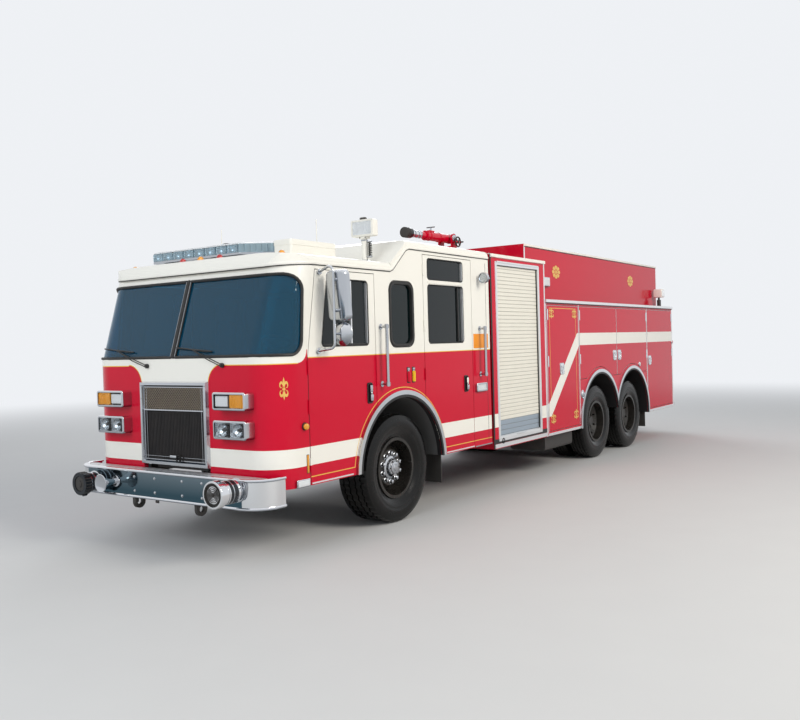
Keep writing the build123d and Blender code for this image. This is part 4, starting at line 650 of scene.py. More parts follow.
def make_lamps():
    """Three square lamps that point at the vehicle."""
    for name, place, size, power, colour, glossy in LAMPS:
        data = bpy.data.lights.new(name, "AREA")
        data.energy = power
        data.size = size
        data.color = colour
        lamp = bpy.data.objects.new(name, data)
        lamp.location = place
        lamp.visible_glossy = glossy
        lamp.rotation_euler = (LAMP_AIM - Vector(place)).to_track_quat("-Z", "Y").to_euler()
        bpy.context.scene.collection.objects.link(lamp)


# Making meshes

OUTWARD, UPWARD, FORWARD, REARWARD = (1, 0, 0), (0, 0, 1), (0, -1, 0), (0, 1, 0)


def around(count, radius, phase=0.0):
    """Offsets of points spaced evenly round a circle."""
    turns = (2 * pi * k / count + phase for k in range(count))
    return [(radius * cos(t), radius * sin(t)) for t in turns]


def rectangle(a0, b0, a1, b1):
    """Closed outline between two corners."""
    return [(a0, b0), (a1, b0), (a1, b1), (a0, b1)]


class Shape:
    """Collects the faces of one piece; mark picks the material of each face."""

    def __init__(self):
        self.verts = []
        self.faces = []
        self.marks = []

    def add(self, verts, faces, mark=0):
        base = len(self.verts)
        self.verts.extend(Vector(v) for v in verts)
        self.faces.extend([base + i for i in face] for face in faces)
        self.marks.extend([mark] * len(faces))

    def box(self, low, high, mark=0, edge=0.0, segments=2):
        """A box between two corners, with rounded edges."""
        bm = bmesh.new()
        bmesh.ops.create_cube(bm, size=1.0)
        middle = (Vector(low) + Vector(high)) / 2
        size = Vector(high) - Vector(low)
        for vert in bm.verts:
            vert.co = vert.co * size
        if edge:
            bmesh.ops.bevel(bm, geom=bm.edges[:], offset=edge, segments=segments, affect="EDGES", profile=0.5)
        bm.verts.index_update()
        self.add([vert.co + middle for vert in bm.verts],
                 [[vert.index for vert in face.verts] for face in bm.faces], mark)
        bm.free()

    def loft(self, rings, mark=0, closed=False):
        """Join rings of equal count; closed joins the last ring to the first, else the ends are capped."""
        count = len(rings[0])
        faces = []
        for i in range(len(rings) if closed else len(rings) - 1):
            a, b = i * count, (i + 1) % len(rings) * count
            for j in range(count):
                k = (j + 1) % count
                faces.append((a + j, a + k, b + k, b + j))
        if not closed:
            faces.append(tuple(reversed(range(count))))
            faces.append(tuple((len(rings) - 1) * count + j for j in range(count)))
        self.add([point for ring in rings for point in ring], faces, mark)

    def tube(self, points, radius, mark=0, sides=10, closed=False):
        points = [Vector(p) for p in points]
        rings = []
        normal = None
        for i, point in enumerate(points):
            before = points[i - 1] if i or closed else point
            after = points[(i + 1) % len(points)] if i + 1 < len(points) or closed else point
            tangent = (after - before).normalized()
            normal = tangent.orthogonal() if normal is None else normal - tangent * normal.dot(tangent)
            normal.normalize()
            side = tangent.cross(normal)
            rings.append([point + a * normal + b * side for a, b in around(sides, radius)])
        self.loft(rings, mark, closed)

    def wire(self, place, points, radius, mark=0, sides=6, closed=False):
        """A tube through points given as a, b and depth."""
        self.tube([place(*point) for point in points], radius, mark, sides, closed)

    def lathe(self, centre, axis, profile, mark=0, sides=32):
        """Turn a profile of (offset along the axis, radius) about the axis."""
        axis = Vector(axis).normalized()
        normal = axis.orthogonal().normalized()
        side = axis.cross(normal)
        rings = [[Vector(centre) + axis * offset + a * normal + b * side
                  for a, b in around(sides, max(radius, 0.0002))] for offset, radius in profile]
        self.loft(rings, mark)

    def cylinder(self, start, end, radius, mark=0, sides=20, edge=0.0):
        axis = Vector(end) - Vector(start)
        profile = [(0, radius), (axis.length, radius)]
        if edge:
            profile = [(0, radius - edge), (edge, radius), (axis.length - edge, radius),
                       (axis.length, radius - edge)]
        self.lathe(start, axis, profile, mark, sides)

    def band(self, centre, axis, half, radius, mark, sides, flat=0.004, rise=0.006):
        """A raised ring round an axis, with bevelled edges."""
        low = radius - rise
        self.lathe(centre, axis, ((-half, low), (-flat, radius), (flat, radius), (half, low)), mark, sides)

    def bolts(self, place, count, circle, axis, profile, mark=0, sides=8, phase=0.0):
        """Turned heads evenly round a circle."""
        for a, b in around(count, circle, phase):
            self.lathe(place(a, b), axis, profile, mark, sides)

    def plate(self, place, outline, depths, mark=0):
        """A flat plate of one outline between depths."""
        self.loft([[place(a, b, depth) for a, b in outline] for depth in depths], mark)

    def strip(self, path, width, near, far, place, mark=0, closed=False, chamfer=0.0):
        """A moulding along a flat path (a, b), standing from depth near to depth far. Its width is one
        number or a list, and place turns (a, b, depth) into a point."""
        count = len(path)
        rings = []
        for i, (a, b) in enumerate(path):
            before = path[i - 1] if i or closed else path[i]
            after = path[(i + 1) % count] if i + 1 < count or closed else path[i]
            first = Vector((a - before[0], b - before[1]))
            second = Vector((after[0] - a, after[1] - b))
            first = first.normalized() if first.length else second.normalized()
            second = second.normalized() if second.length else first
            mean = (first + second).normalized()
            stretch = 1 / max(0.35, mean.dot(first))
            across = width[i] if isinstance(width, list) else width
            normal = Vector((-mean.y, mean.x)) * across / 2 * stretch
            shrink = 1 - 2 * chamfer / across
            rings.append([place(a + normal.x * share, b + normal.y * share, depth)
                          for share, depth in ((1, near), (shrink, far), (-shrink, far), (-1, near))])
        self.loft(rings, mark, closed)

    def border(self, place, outline, width, near, far, mark=0, chamfer=0.0):
        """A moulding round a closed outline."""
        self.strip(outline, width, near, far, place, mark, True, chamfer)

    def mouldings(self, place, rows):
        """Straight mouldings. A row holds a0, b0, a1, b1, width, near and far depth, mark and chamfer."""
        for a0, b0, a1, b1, width, near, far, mark, chamfer in rows:
            self.strip([(a0, b0), (a1, b1)], width, near, far, place, mark, False, chamfer)

    def boxes(self, place, rows):
        """Boxes. A row holds two corners as a, b and depth, a mark, the edge's radius and its segments."""
        for low, high, mark, edge, segments in rows:
            self.box(place(*low), place(*high), mark, edge, segments)

    def flipped(self):
        """The same shape on the other side of the vehicle."""
        other = Shape()
        other.verts = [Vector((-v.x, v.y, v.z)) for v in self.verts]
        other.faces = [list(reversed(face)) for face in self.faces]
        other.marks = list(self.marks)
        return other

    def with_mirror(self):
        """This shape and its mirror image as one."""
        other, both, base = self.flipped(), Shape(), len(self.verts)
        both.verts = self.verts + other.verts
        both.faces = self.faces + [[base + i for i in face] for face in other.faces]
        both.marks = self.marks + other.marks
        return both

    def piece(self, name, body, materials, replaces=(), slot=None):
        mesh = bpy.data.meshes.new(name)
        mesh.from_pydata([tuple(v) for v in self.verts], [], self.faces)
        bm = bmesh.new()
        bm.from_mesh(mesh)
        bmesh.ops.recalc_face_normals(bm, faces=bm.faces[:])
        bm.to_mesh(mesh)
        bm.free()
        for key in materials:
            mesh.materials.append(MATERIALS[key])
        mesh.polygons.foreach_set("material_index", self.marks)
        mesh.polygons.foreach_set("use_smooth", [True] * len(mesh.polygons))
        mesh.set_sharp_from_angle(angle=radians(35))
        thing = bpy.data.objects.new(name, mesh)
        bpy.context.scene.collection.objects.link(thing)
        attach(thing, body)
        if replaces:
            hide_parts(*replaces)


def pair(name, shape, body, materials, replaces=(), slot=None):
    """The same piece on both sides, each riding on its own side's body or both on the root."""
    for side, sign in SIDES:
        use = shape if sign > 0 else shape.flipped()
        use.piece(f"{name}_{side}", body if body == "root" else f"{body}_{side}", materials,
                  [f"{node}_{side}" for node in replaces], slot)


def on_side(a, b, depth=0.0):
    """Side view: station, height and distance out from the side plane."""
    return at(HALF + depth, a, b)


def on_front(a, b, depth=0.0):
    """Front view: x, height and distance in front of the cab's face."""
    return at(a, -depth, b)


def on_rear(a, b, depth=0.0):
    """Rear view: x, height and distance behind the body's rear wall."""
    return at(a, BODY_REAR + depth, b)


def on_module(a, b, depth=0.0):
    """Side view of the upper module."""
    return at(MODULE_HALF + depth, a, b)


def ahead_of(x, station, z):
    """Front view about a centre: x and height from it, and distance in front of it."""
    return lambda a, b, depth=0.0: at(x + a, station - depth, z + b)


def above(x, station, z):
    """Plan view about a centre: x and station from it, and height over it."""
    return lambda a, b, depth=0.0: at(x + a, station + b, z + depth)


def beside(x, station, z):
    """Side view about a centre: station and height from it, and distance outward."""
    return lambda a, b, depth=0.0: at(x + depth, station + a, z + b)


def rounded_loop(points, radius, steps=5):
    """A closed outline with its corners rounded."""
    result = []
    count = len(points)
    for i, (a, b) in enumerate(points):
        here = Vector((a, b))
        to_before = (Vector(points[i - 1]) - here).normalized()
        to_after = (Vector(points[(i + 1) % count]) - here).normalized()
        half = to_before.angle(to_after) / 2
        reach = radius / tan(half)
        centre = here + (to_before + to_after).normalized() * radius / sin(half)
        start = here + to_before * reach - centre
        end = here + to_after * reach - centre
        for k in range(steps + 1):
            point = start.lerp(end, k / steps).normalized() * radius + centre
            result.append((point.x, point.y))
    return result


def grown(outline, amount):
    """Move a convex outline's corners away from its middle."""
    middle_a = sum(a for a, b in outline) / len(outline)
    middle_b = sum(b for a, b in outline) / len(outline)
    return [(a + amount * (1 if a > middle_a else -1), b + amount * (1 if b > middle_b else -1))
            for a, b in outline]


# Wheels

FRONT_WHEEL_X = (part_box("front_tyre_left")[0].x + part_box("front_tyre_left")[1].x) / 2
REAR_WHEEL_X = (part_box("rear_tyres_1_left")[0].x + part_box("rear_tyres_1_left")[1].x) / 2
DUAL_HALF = 0.1625
RIM_SEAT, RIM_FLANGE = 0.286, 0.308
# Shape of the tread: depth of the grooves and of the cross cuts, and how far the grooves wave
GROOVE_DEEP, CUT_DEEP, GROOVE_WAVE, GROOVE_HALF = 0.012, 0.009, 0.005, 0.0065
SIDEWALL_STEPS, SIDEWALL_RIBS, RIB = 9, (2, 5, 7), 0.005
NUTS, NUT_CIRCLE, NUT_SIZE = 10, 0.143, 0.020
HUB_PROFILE = ((-0.001, 0.116), (0.012, 0.114), (0.020, 0.092), (0.052, 0.086), (0.058, 0.080),
               (0.0585, 0.062), (0.064, 0.060), (0.068, 0.050), (0.0685, 0.030), (0.074, 0.026),
               (0.076, 0.010))


def tyre(shape, x, station, width, bead, lugs):
    """A tyre with grooved tread, sidewall ribs and beads; lugs is the number of cross cuts."""
    half, foot, lip = width / 2, RIM_FLANGE + 0.02, bead + 0.012
    tread = half - 0.024
    wall = [(RIM_SEAT, -bead), (RIM_FLANGE, -bead), (foot, -lip)]
    for k in range(1, SIDEWALL_STEPS):
        share = k / SIDEWALL_STEPS
        bulge = (half - max(lip, tread)) * sin(share * pi) ** 0.8 * 0.92
        rib = RIB if k in SIDEWALL_RIBS else 0.0
        wall.append((foot + (TYRE_RADIUS - 0.016 - foot) * share,
                     -(lip + (tread - lip) * share + bulge + rib)))
    wall.append((TYRE_RADIUS - 0.014, -tread))
    across_tread = [middle * tread + edge for middle in (-0.62, -0.22, 0.22, 0.62)
                    for edge in (-GROOVE_HALF - 0.002, -GROOVE_HALF, GROOVE_HALF, GROOVE_HALF + 0.002)]
    rings = []
    for step in range(lugs * 4):
        phase = step % 4
        wave = GROOVE_WAVE if phase in (0, 1) else -GROOVE_WAVE
        cut = CUT_DEEP if phase == 0 else 0.0
        shoulder = TYRE_RADIUS - 0.002 - cut
        profile = [*wall, (shoulder, -tread + 0.018)]
        for k, offset in enumerate(across_tread):
            outer = abs(offset) > 0.5 * tread
            deep = GROOVE_DEEP if k % 4 in (1, 2) else 0.0
            lug = cut if outer else cut * 0.35 if k % 4 in (0, 3) else 0.0
            profile.append((TYRE_RADIUS - max(deep, lug), offset + wave))
        profile.append((shoulder, tread - 0.018))
        profile += [(radius, -offset) for radius, offset in reversed(wall)]
        angle = 2 * pi * step / (lugs * 4)
        rings.append([at(x + offset, station + radius * cos(angle), TYRE_RADIUS + radius * sin(angle))
                      for radius, offset in profile])
    shape.loft(rings, closed=True)


def wheel_fittings(shape, station, nut_x, nut_height, bead_x, bead_mark):
    """Nuts with their washers, and two fine beads round the rim's edge."""
    washer = ((-0.002, NUT_SIZE * 1.25), (0.004, NUT_SIZE * 1.25), (0.006, NUT_SIZE))
    nut = ((0.004, NUT_SIZE), (nut_height - 0.004, NUT_SIZE), (nut_height, NUT_SIZE * 0.6))
    for profile, sides in ((washer, 16), (nut, 6)):
        shape.bolts(beside(nut_x, station, TYRE_RADIUS), NUTS, NUT_CIRCLE, OUTWARD, profile, 0, sides,
                    pi / NUTS)
    for radius in (0.279, 0.300):
        shape.wire(beside(bead_x, station, TYRE_RADIUS), [(a, b, 0) for a, b in around(64, radius)],
                   0.004, bead_mark, 8, True)


def studs(shape, station, x, length, count, circle, radius):
    """Short studs evenly round a wheel's centre."""
    spot = beside(x, station, TYRE_RADIUS)
    for a, b in around(count, circle):
        shape.cylinder(spot(a, b), spot(a, b, length), radius, 1, 6)


def wheels():
    """Tyres, nuts, studs and hub covers of the front wheels and of the twin rear wheels."""
    front = Shape()
    tyre(front, FRONT_WHEEL_X, FRONT_AXLE, 0.385, 0.138, 46)
    pair("steer_tyre", front, "front_wheel", ["tyre"], ["front_tyre"], "tyre")
    hub = Shape()
    face = FRONT_WHEEL_X + 0.070
    wheel_fittings(hub, FRONT_AXLE, face, 0.036, FRONT_WHEEL_X + 0.146, 2)
    hub.lathe(at(face, FRONT_AXLE, TYRE_RADIUS), OUTWARD, HUB_PROFILE, 0, 40)
    studs(hub, FRONT_AXLE, face + 0.056, 0.011, 6, 0.071, 0.0075)
    hub.cylinder(at(FRONT_WHEEL_X + 0.120, FRONT_AXLE + 0.255, TYRE_RADIUS + 0.03),
                 at(FRONT_WHEEL_X + 0.165, FRONT_AXLE + 0.250, TYRE_RADIUS + 0.03), 0.006, 1, 8)
    pair("front_hub_trim", hub, "front_wheel", ["satin_chrome", "black", "rim"], slot="chrome")
    for number, station in enumerate(REAR_AXLES, 1):
        twin = Shape()
        for offset in (-DUAL_HALF, DUAL_HALF):
            tyre(twin, REAR_WHEEL_X + offset, station, 0.285, 0.112, 40)
        body = f"rear_wheel_{number}"
        pair(f"drive_tyres_{number}", twin, body, ["tyre"], [f"rear_tyres_{number}"], "tyre")
        hub = Shape()
        outer = REAR_WHEEL_X + DUAL_HALF
        wheel_fittings(hub, station, outer - 0.136, 0.040, outer + 0.120, 1)
        studs(hub, station, REAR_WHEEL_X + 0.148, 0.024, 8, 0.088, 0.010)
        hub.lathe(at(REAR_WHEEL_X + 0.204, station, TYRE_RADIUS), OUTWARD,
                  ((0, 0.064), (0.001, 0.064), (0.0012, 0.040)), 1, 32)
        pair(f"rear_hub_trim_{number}", hub, body, ["satin_chrome", "rim"], slot="chrome")


# Front of the cab

GRILLE_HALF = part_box("grille")[1].x
GRILLE_LOW, GRILLE_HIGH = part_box("grille")[0].z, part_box("grille")[1].z
GRILLE_RIM, GRILLE_BAR, GRILLE_FINS = 0.044, 1.240, 40


def woven_screen(shape, x0, x1, z0, z1, pitch, depth, wire, mark):
    """Slanted crossing wires clipped to a rectangle."""
    height = z1 - z0
    for sense in (1, -1):
        offset = x0 - height if sense > 0 else x0
        stop = x1 if sense > 0 else x1 + height
        away = depth + 0.0012 * sense
        while offset < stop:
            ends = []
            for x, z in ((offset, z0), (offset + sense * height, z1)):
                kept = min(max(x, x0), x1)
                ends.append((kept, z + sense * (kept - x), away))
            if ends[1][1] - ends[0][1] > pitch / 2:
                shape.wire(on_front, ends, wire, mark, 4)
            offset += pitch


def grille():
    """Chrome rim, inner frame, cross bar, screen, fins and rivets."""
    shape = Shape()
    mid_x = GRILLE_HALF - GRILLE_RIM / 2
    rim = rectangle(-mid_x, GRILLE_LOW + GRILLE_RIM / 2, mid_x, GRILLE_HIGH - GRILLE_RIM / 2)
    shape.border(on_front, rim, GRILLE_RIM, 0.0, 0.030, 0, 0.010)
    inner = GRILLE_HALF - GRILLE_RIM - 0.008
    lower, upper = GRILLE_LOW + GRILLE_RIM + 0.008, GRILLE_HIGH - GRILLE_RIM - 0.008
    shape.border(on_front, rectangle(-inner, lower, inner, upper), 0.014, 0.002, 0.016, 1, 0.003)
    shape.box(on_front(-inner, lower, -0.004), on_front(inner, upper, 0.002), 3)
    shape.mouldings(on_front, (
        (-inner, GRILLE_BAR, inner, GRILLE_BAR, 0.020, 0.006, 0.022, 0, 0.005),
        (-inner + 0.030, lower, -inner + 0.030, upper, 0.006, 0.008, 0.014, 1, 0.001),
        (inner - 0.030, lower, inner - 0.030, upper, 0.006, 0.008, 0.014, 1, 0.001),
        (-inner, lower + 0.030, inner, lower + 0.030, 0.006, 0.008, 0.014, 1, 0.001)))
    woven_screen(shape, -inner, inner, GRILLE_BAR, upper, 0.030, 0.008, 0.0036, 4)
    for k in range(1, GRILLE_FINS):
        x = -inner + 2 * inner * k / GRILLE_FINS
        shape.box(on_front(x - 0.0008, lower, 0.001), on_front(x + 0.0008, GRILLE_BAR, 0.007), 3)
    for x in (-mid_x, mid_x):
        for z in (0.80, 1.02, 1.34, 1.46):
            shape.cylinder(on_front(x, z, 0.029), on_front(x, z, 0.033), 0.006, 1, 8)
    shape.box(on_front(-0.040, 0.812, 0.040), on_front(0.045, 0.836, 0.026), 0, 0.005)
    handle = rounded_loop(rectangle(0.045, 0.772, 0.095, 0.838), 0.024, 5)
    shape.border(on_front, handle, 0.008, 0.026, 0.040, 5, 0.002)
    shape.piece("grille_detail", "root",
                ["chrome", "satin_chrome", "satin_chrome", "radiator", "screen", "plastic"],
                ["grille"], slot="chrome")


BEZELS = ((1.260, 1.415, ("white", "amber")), (1.015, 1.176, ("headlamp", "headlamp")))
BEZEL_IN, BEZEL_OUT, BEZEL_GAP = 0.618, 0.972, 0.003
LENS_FACE = 0.093
LENS_REAR = LENS_FACE - 0.030
SIDE_LENS = (3.286, 3.494, 1.226, 1.294)
REAR_LENSES = ((0.992, 1.098, 4), (1.142, 1.248, 2), (1.292, 1.398, 5))
REAR_LENS_IN, REAR_LENS_OUT = 1.042, 1.178
FLOOD = at(1.315, 3.380, 2.500)
# Roof markers: x, station, lowest z, z where it leaves the roof and mark
ROOF_MARKERS = ((0.990, 0.400, 2.535, 2.562, 2), (0.250, 0.370, 2.554, 2.588, 5),
                (0.0, 0.365, 2.554, 2.588, 2))


def lamp(shape, x0, x1, z0, z1, kind):
    """One lamp unit in its pocket: marks are 0 clear, 1 chrome, 2 amber, 3 black, 4 white."""
    rear, face = LENS_REAR, LENS_FACE
    if kind == "amber":
        shape.box(on_front(x0 + 0.002, z0 + 0.002, face + 0.003), on_front(x1 - 0.002, z1 - 0.002, rear),
                  2, 0.008, 3)
        for k in range(9):
            x = x0 + (x1 - x0) * (k + 0.5) / 9
            shape.wire(on_front, ((x, z0 + 0.012, face + 0.003), (x, z1 - 0.012, face + 0.003)), 0.0028, 2, 8)
    elif kind == "white":
        shape.boxes(on_front, (
            ((x0 + 0.001, z0 + 0.001, rear + 0.006), (x1 - 0.001, z1 - 0.001, rear), 3, 0.003, 2),
            ((x0 + 0.012, z0 + 0.014, face + 0.004), (x1 - 0.012, z1 - 0.014, rear + 0.004), 4, 0.008, 3)))
        for k in range(5):
            z = z0 + 0.022 + (z1 - z0 - 0.044) * k / 4
            shape.wire(on_front, ((x0 + 0.018, z, face + 0.004), (x1 - 0.018, z, face + 0.004)), 0.0022, 4)
        shape.border(on_front, rectangle(x0 + 0.008, z0 + 0.010, x1 - 0.008, z1 - 0.010), 0.010, rear,
                     face - 0.006, 3, 0.002)
    else:
        headlamp(shape, x0, x1, z0, z1)


def headlamp(shape, x0, x1, z0, z1):
    """A bowl with a bulb and ribs, in a frame behind clear glass."""
    rear, face = LENS_REAR, LENS_FACE
    middle_x, middle_z = (x0 + x1) / 2, (z0 + z1) / 2
    shape.box(on_front(x0, z0, rear + 0.004), on_front(x1, z1, rear), 1)
    reach = min(x1 - x0, z1 - z0) / 2 - 0.006
    dish = [(0.002 + 0.022 * t * t, reach * (0.30 + 0.70 * t)) for t in (k / 6 for k in range(7))]
    dish += [(0.026, reach), (0.026, reach * 1.03), (0.0, reach * 1.03)]
    shape.lathe(on_front(middle_x, middle_z, rear + 0.002), FORWARD, dish, 1, 28)
    shape.cylinder(on_front(middle_x, middle_z, rear), on_front(middle_x, middle_z, rear + 0.022),
                   0.012, 3, 12, 0.004)
    for a, b in around(8, 1.0):
        shape.wire(on_front, [(middle_x + a * out, middle_z + b * out, depth)
                              for out, depth in ((0.016, rear + 0.008), (reach * 0.94, rear + 0.026))],
                   0.0016, 1, 4)
    shape.border(on_front, rectangle(x0 + 0.003, z0 + 0.003, x1 - 0.003, z1 - 0.003), 0.008, rear,
                 face - 0.002, 1, 0.002)
    shape.box(on_front(x0 + 0.001, z0 + 0.001, face + 0.002), on_front(x1 - 0.001, z1 - 0.001, face - 0.003),
              0, 0.0015)


def fluted_lens(shape, place, a0, a1, b0, b1, near, far, mark, count):
    """A flat lens between two depths with upright flutes on its face."""
    shape.box(place(a0, b0, near), place(a1, b1, far), mark, 0.003)
    for k in range(count):
        a = a0 + (a1 - a0) * (k + 0.5) / count
        shape.wire(place, ((a, b0 + 0.006, far), (a, b1 - 0.006, far)), 0.0022, mark)


def roof_marker(shape, x, station, low, skin, mark):
    """Teardrop lens on a black ring."""
    shape.lathe(at(x, station, skin - 0.012), UPWARD, ((0, 0.044), (0.010, 0.044), (0.014, 0.037)), 3, 24)
    profile = [(0.0, 0.035), (0.030, 0.0352)]
    for k in range(1, 8):
        turn = k / 7 * pi / 2
        profile.append((0.030 + 0.062 * sin(turn), 0.0352 * cos(turn) ** 0.75))
    shape.lathe(at(x, station, low), UPWARD, profile, mark, 28)


def front_lamps():
    """Lamps of the bezels, side and rear lenses, flood lamps and roof markers."""
    shape = Shape()
    middle = (BEZEL_IN + BEZEL_OUT) / 2
    for low, high, kinds in BEZELS:
        lamp(shape, BEZEL_IN, middle - BEZEL_GAP, low + 0.018, high - 0.018, kinds[0])
        lamp(shape, middle + BEZEL_GAP, BEZEL_OUT, low + 0.018, high - 0.018, kinds[1])
    fluted_lens(shape, on_side, *SIDE_LENS, 0.010, 0.026, 4, 12)
    for low, high, mark in REAR_LENSES:
        fluted_lens(shape, on_rear, REAR_LENS_IN, REAR_LENS_OUT, low, high, 0.008, 0.023, mark, 8)
    shape.lathe(FLOOD, FORWARD, ((-0.001, 0.054), (0.008, 0.054), (0.014, 0.046), (0.017, 0.024),
                                    (0.018, 0.004)), 0, 32)
    shape.lathe(FLOOD, FORWARD, ((0.0, 0.020), (0.003, 0.050), (0.004, 0.050)), 1, 32)
    for row in ROOF_MARKERS[:2]:
        roof_marker(shape, *row)
    shape = shape.with_mirror()
    roof_marker(shape, *ROOF_MARKERS[2])
    shape.piece("front_lamps", "root", ["clear", "chrome", "amber", "plastic", "white_lens", "red_lens"],
                ["lamp_lenses"], slot="lens_clear")


WINDSHIELD_LOW, WINDSHIELD_HIGH, WINDSHIELD_CORNER = 1.715, 2.405, 0.130
WINDSHIELD_EDGE_LOW, WINDSHIELD_EDGE_HIGH = 0.340, 0.400
DIVIDER = 0.026


def face_at(z):
    """How far back the cab's face is at a height, and the radius of its corners there."""
    t = min(max((z - LEAN_LOW) / (LEAN_HIGH - LEAN_LOW), 0.0), 1.0)
    return LEAN * t, CORNER_LOW + (CORNER_HIGH - CORNER_LOW) * t


def round_corner(angle, z, out):
    """A point of the rounded corner, moved out by a distance; the angle is 0 on the flat face."""
    face, radius = face_at(z)
    return at(HALF - radius + (radius + out) * sin(angle), face + radius - (radius + out) * cos(angle), z)


def front_skin(x, z, out=0.0):
    """A point of the cab's front at x, moved out by a distance."""
    face, radius = face_at(z)
    if abs(x) <= HALF - radius:
        return at(x, face - out, z)
    point = round_corner(asin(min((abs(x) - HALF + radius) / radius, 1.0)), z, out)
    return Vector((point.x if x > 0 else -point.x, point.y, point.z))


def corner_skin(station, z, out=0.0):
    """A point of the cab's rounded corner or side at a station, moved out by a distance."""
    face, radius = face_at(z)
    if station >= face + radius:
        return at(HALF + out, station, z)
    return round_corner(pi / 2 - asin(max(min((face + radius - station) / radius, 1.0), -1.0)), z, out)


def windshield_path(out):
    """Half of the windshield's outline: along the bottom, up the side and back along the top."""
    points = [front_skin(x, WINDSHIELD_LOW, out) for x in (DIVIDER, 0.3, 0.6, 0.85, HALF - CORNER_LOW)]
    corners = rounded_loop([(-1.0, WINDSHIELD_LOW), (WINDSHIELD_EDGE_LOW, WINDSHIELD_LOW),
                            (WINDSHIELD_EDGE_HIGH, WINDSHIELD_HIGH), (-1.0, WINDSHIELD_HIGH)],
                           WINDSHIELD_CORNER, 8)
    side = [(a, b) for a, b in corners if a > -0.5]
    low_start, high_start = 0.03, face_at(WINDSHIELD_HIGH)[0] + 0.02
    first, last = side[0][0], side[-1][0]
    points += [corner_skin(low_start + (first - low_start) * k / 4, WINDSHIELD_LOW, out) for k in range(4)]
    points += [corner_skin(a, b, out) for a, b in side if b < 2.06 or a > high_start]
    if last > high_start:
        points += [corner_skin(last + (high_start - last) * k / 3, WINDSHIELD_HIGH, out) for k in (1, 2)]
    points += [front_skin(x, WINDSHIELD_HIGH, out) for x in (HALF - 0.264, 0.85, 0.6, 0.3, DIVIDER)]
    return points


def windshield_trim():
    """Rubber round both panes, with its filler strip and the divider."""
    shape = Shape()
    shape.tube(windshield_path(0.002), 0.0135, 0, 10)
    shape.tube(windshield_path(0.013), 0.004, 1, 8)
    shape = shape.with_mirror()
    low, high = WINDSHIELD_LOW, WINDSHIELD_HIGH
    for x in (-DIVIDER + 0.004, DIVIDER - 0.004):
        shape.wire(front_skin, ((x, low, 0.003), (x, high, 0.003)), 0.013, 0, 8)
        shape.wire(front_skin, ((x * 1.25, low, 0.013), (x * 1.25, high, 0.013)), 0.0025, 2)
    shape.wire(front_skin, ((0, low - 0.01, 0.004), (0, high + 0.01, 0.004)), 0.015, 0, 8)
    shape.piece("windshield_gasket", "root", ["rubber", "plastic", "satin_chrome"], slot="black_plastic")


# x of the pivot, and x and height of the blade's middle
WIPERS = ((-0.350, -0.800, 1.790), (0.640, 0.260, 1.780))
WIPER_PIVOT = 1.640


def wiper_arms():
    """Arm, link and bowed blade of each wiper, in place of the plain ones."""
    shape = Shape()
    for pivot, blade, z in WIPERS:
        shape.cylinder(on_front(pivot, WIPER_PIVOT), on_front(pivot, WIPER_PIVOT, 0.026), 0.021, 0, 16, 0.004)
        shape.cylinder(on_front(pivot, WIPER_PIVOT, 0.026), on_front(pivot, WIPER_PIVOT, 0.036), 0.011, 1, 6)
        tip = front_skin(blade, z, 0.030)
        for gap in (-0.007, 0.007):
            shape.tube([on_front(pivot + gap, WIPER_PIVOT + gap, 0.024),
                        on_front(pivot * 0.6 + blade * 0.4 + gap, WIPER_PIVOT + 0.060 + gap, 0.034), tip],
                       0.0045, 0, 6)
        for reach in (-0.200, -0.065, 0.065, 0.200):
            fall = z - 0.018 * reach / 0.2
            shape.tube([front_skin(blade + reach, fall, 0.012), front_skin(blade + reach * 0.7, fall, 0.026),
                        tip], 0.0035, 0, 6)
        shape.wire(front_skin, [(blade + 0.235 * k / 8, z - 0.020 * k / 8, 0.010) for k in range(-8, 9)],
                   0.0075)
    shape.piece("wiper_arms", "root", ["plastic", "black"], ["wipers"], slot="black_plastic")


# Inside the cab

# Each seat's x, station of the back's rear face and the way it faces, 1 for forward
SEATS = ((0.820, 1.560, 1), (-0.820, 1.560, 1), (0.820, 1.720, -1), (-0.820, 1.720, -1), (0.820, 3.560, 1),
         (-0.820, 3.560, 1))
SEAT_HALF, SEAT_REACH, SEAT_LOW, SEAT_HIGH = 0.235, 0.550, 1.510, 1.640
BACK_THICK, BACK_TOP, BACK_TAPER = 0.110, 2.330, 0.27
RAISED_FLOOR = 1.200
PAD_VOXEL, PAD_ROOM, PAD_CAP, PAD_FRAMES = 0.009, 0.010, 0.012, 20
SEWN_LINES, SEWN_DEEP, SEWN_HALF = (-0.125, 0.125), 0.010, 0.016


def baked(thing):
    """Apply an object's modifiers and return its mesh."""
    graph = bpy.context.evaluated_depsgraph_get()
    mesh = bpy.data.meshes.new_from_object(thing.evaluated_get(graph))
    thing.modifiers.clear()
    thing.data = mesh
    return mesh


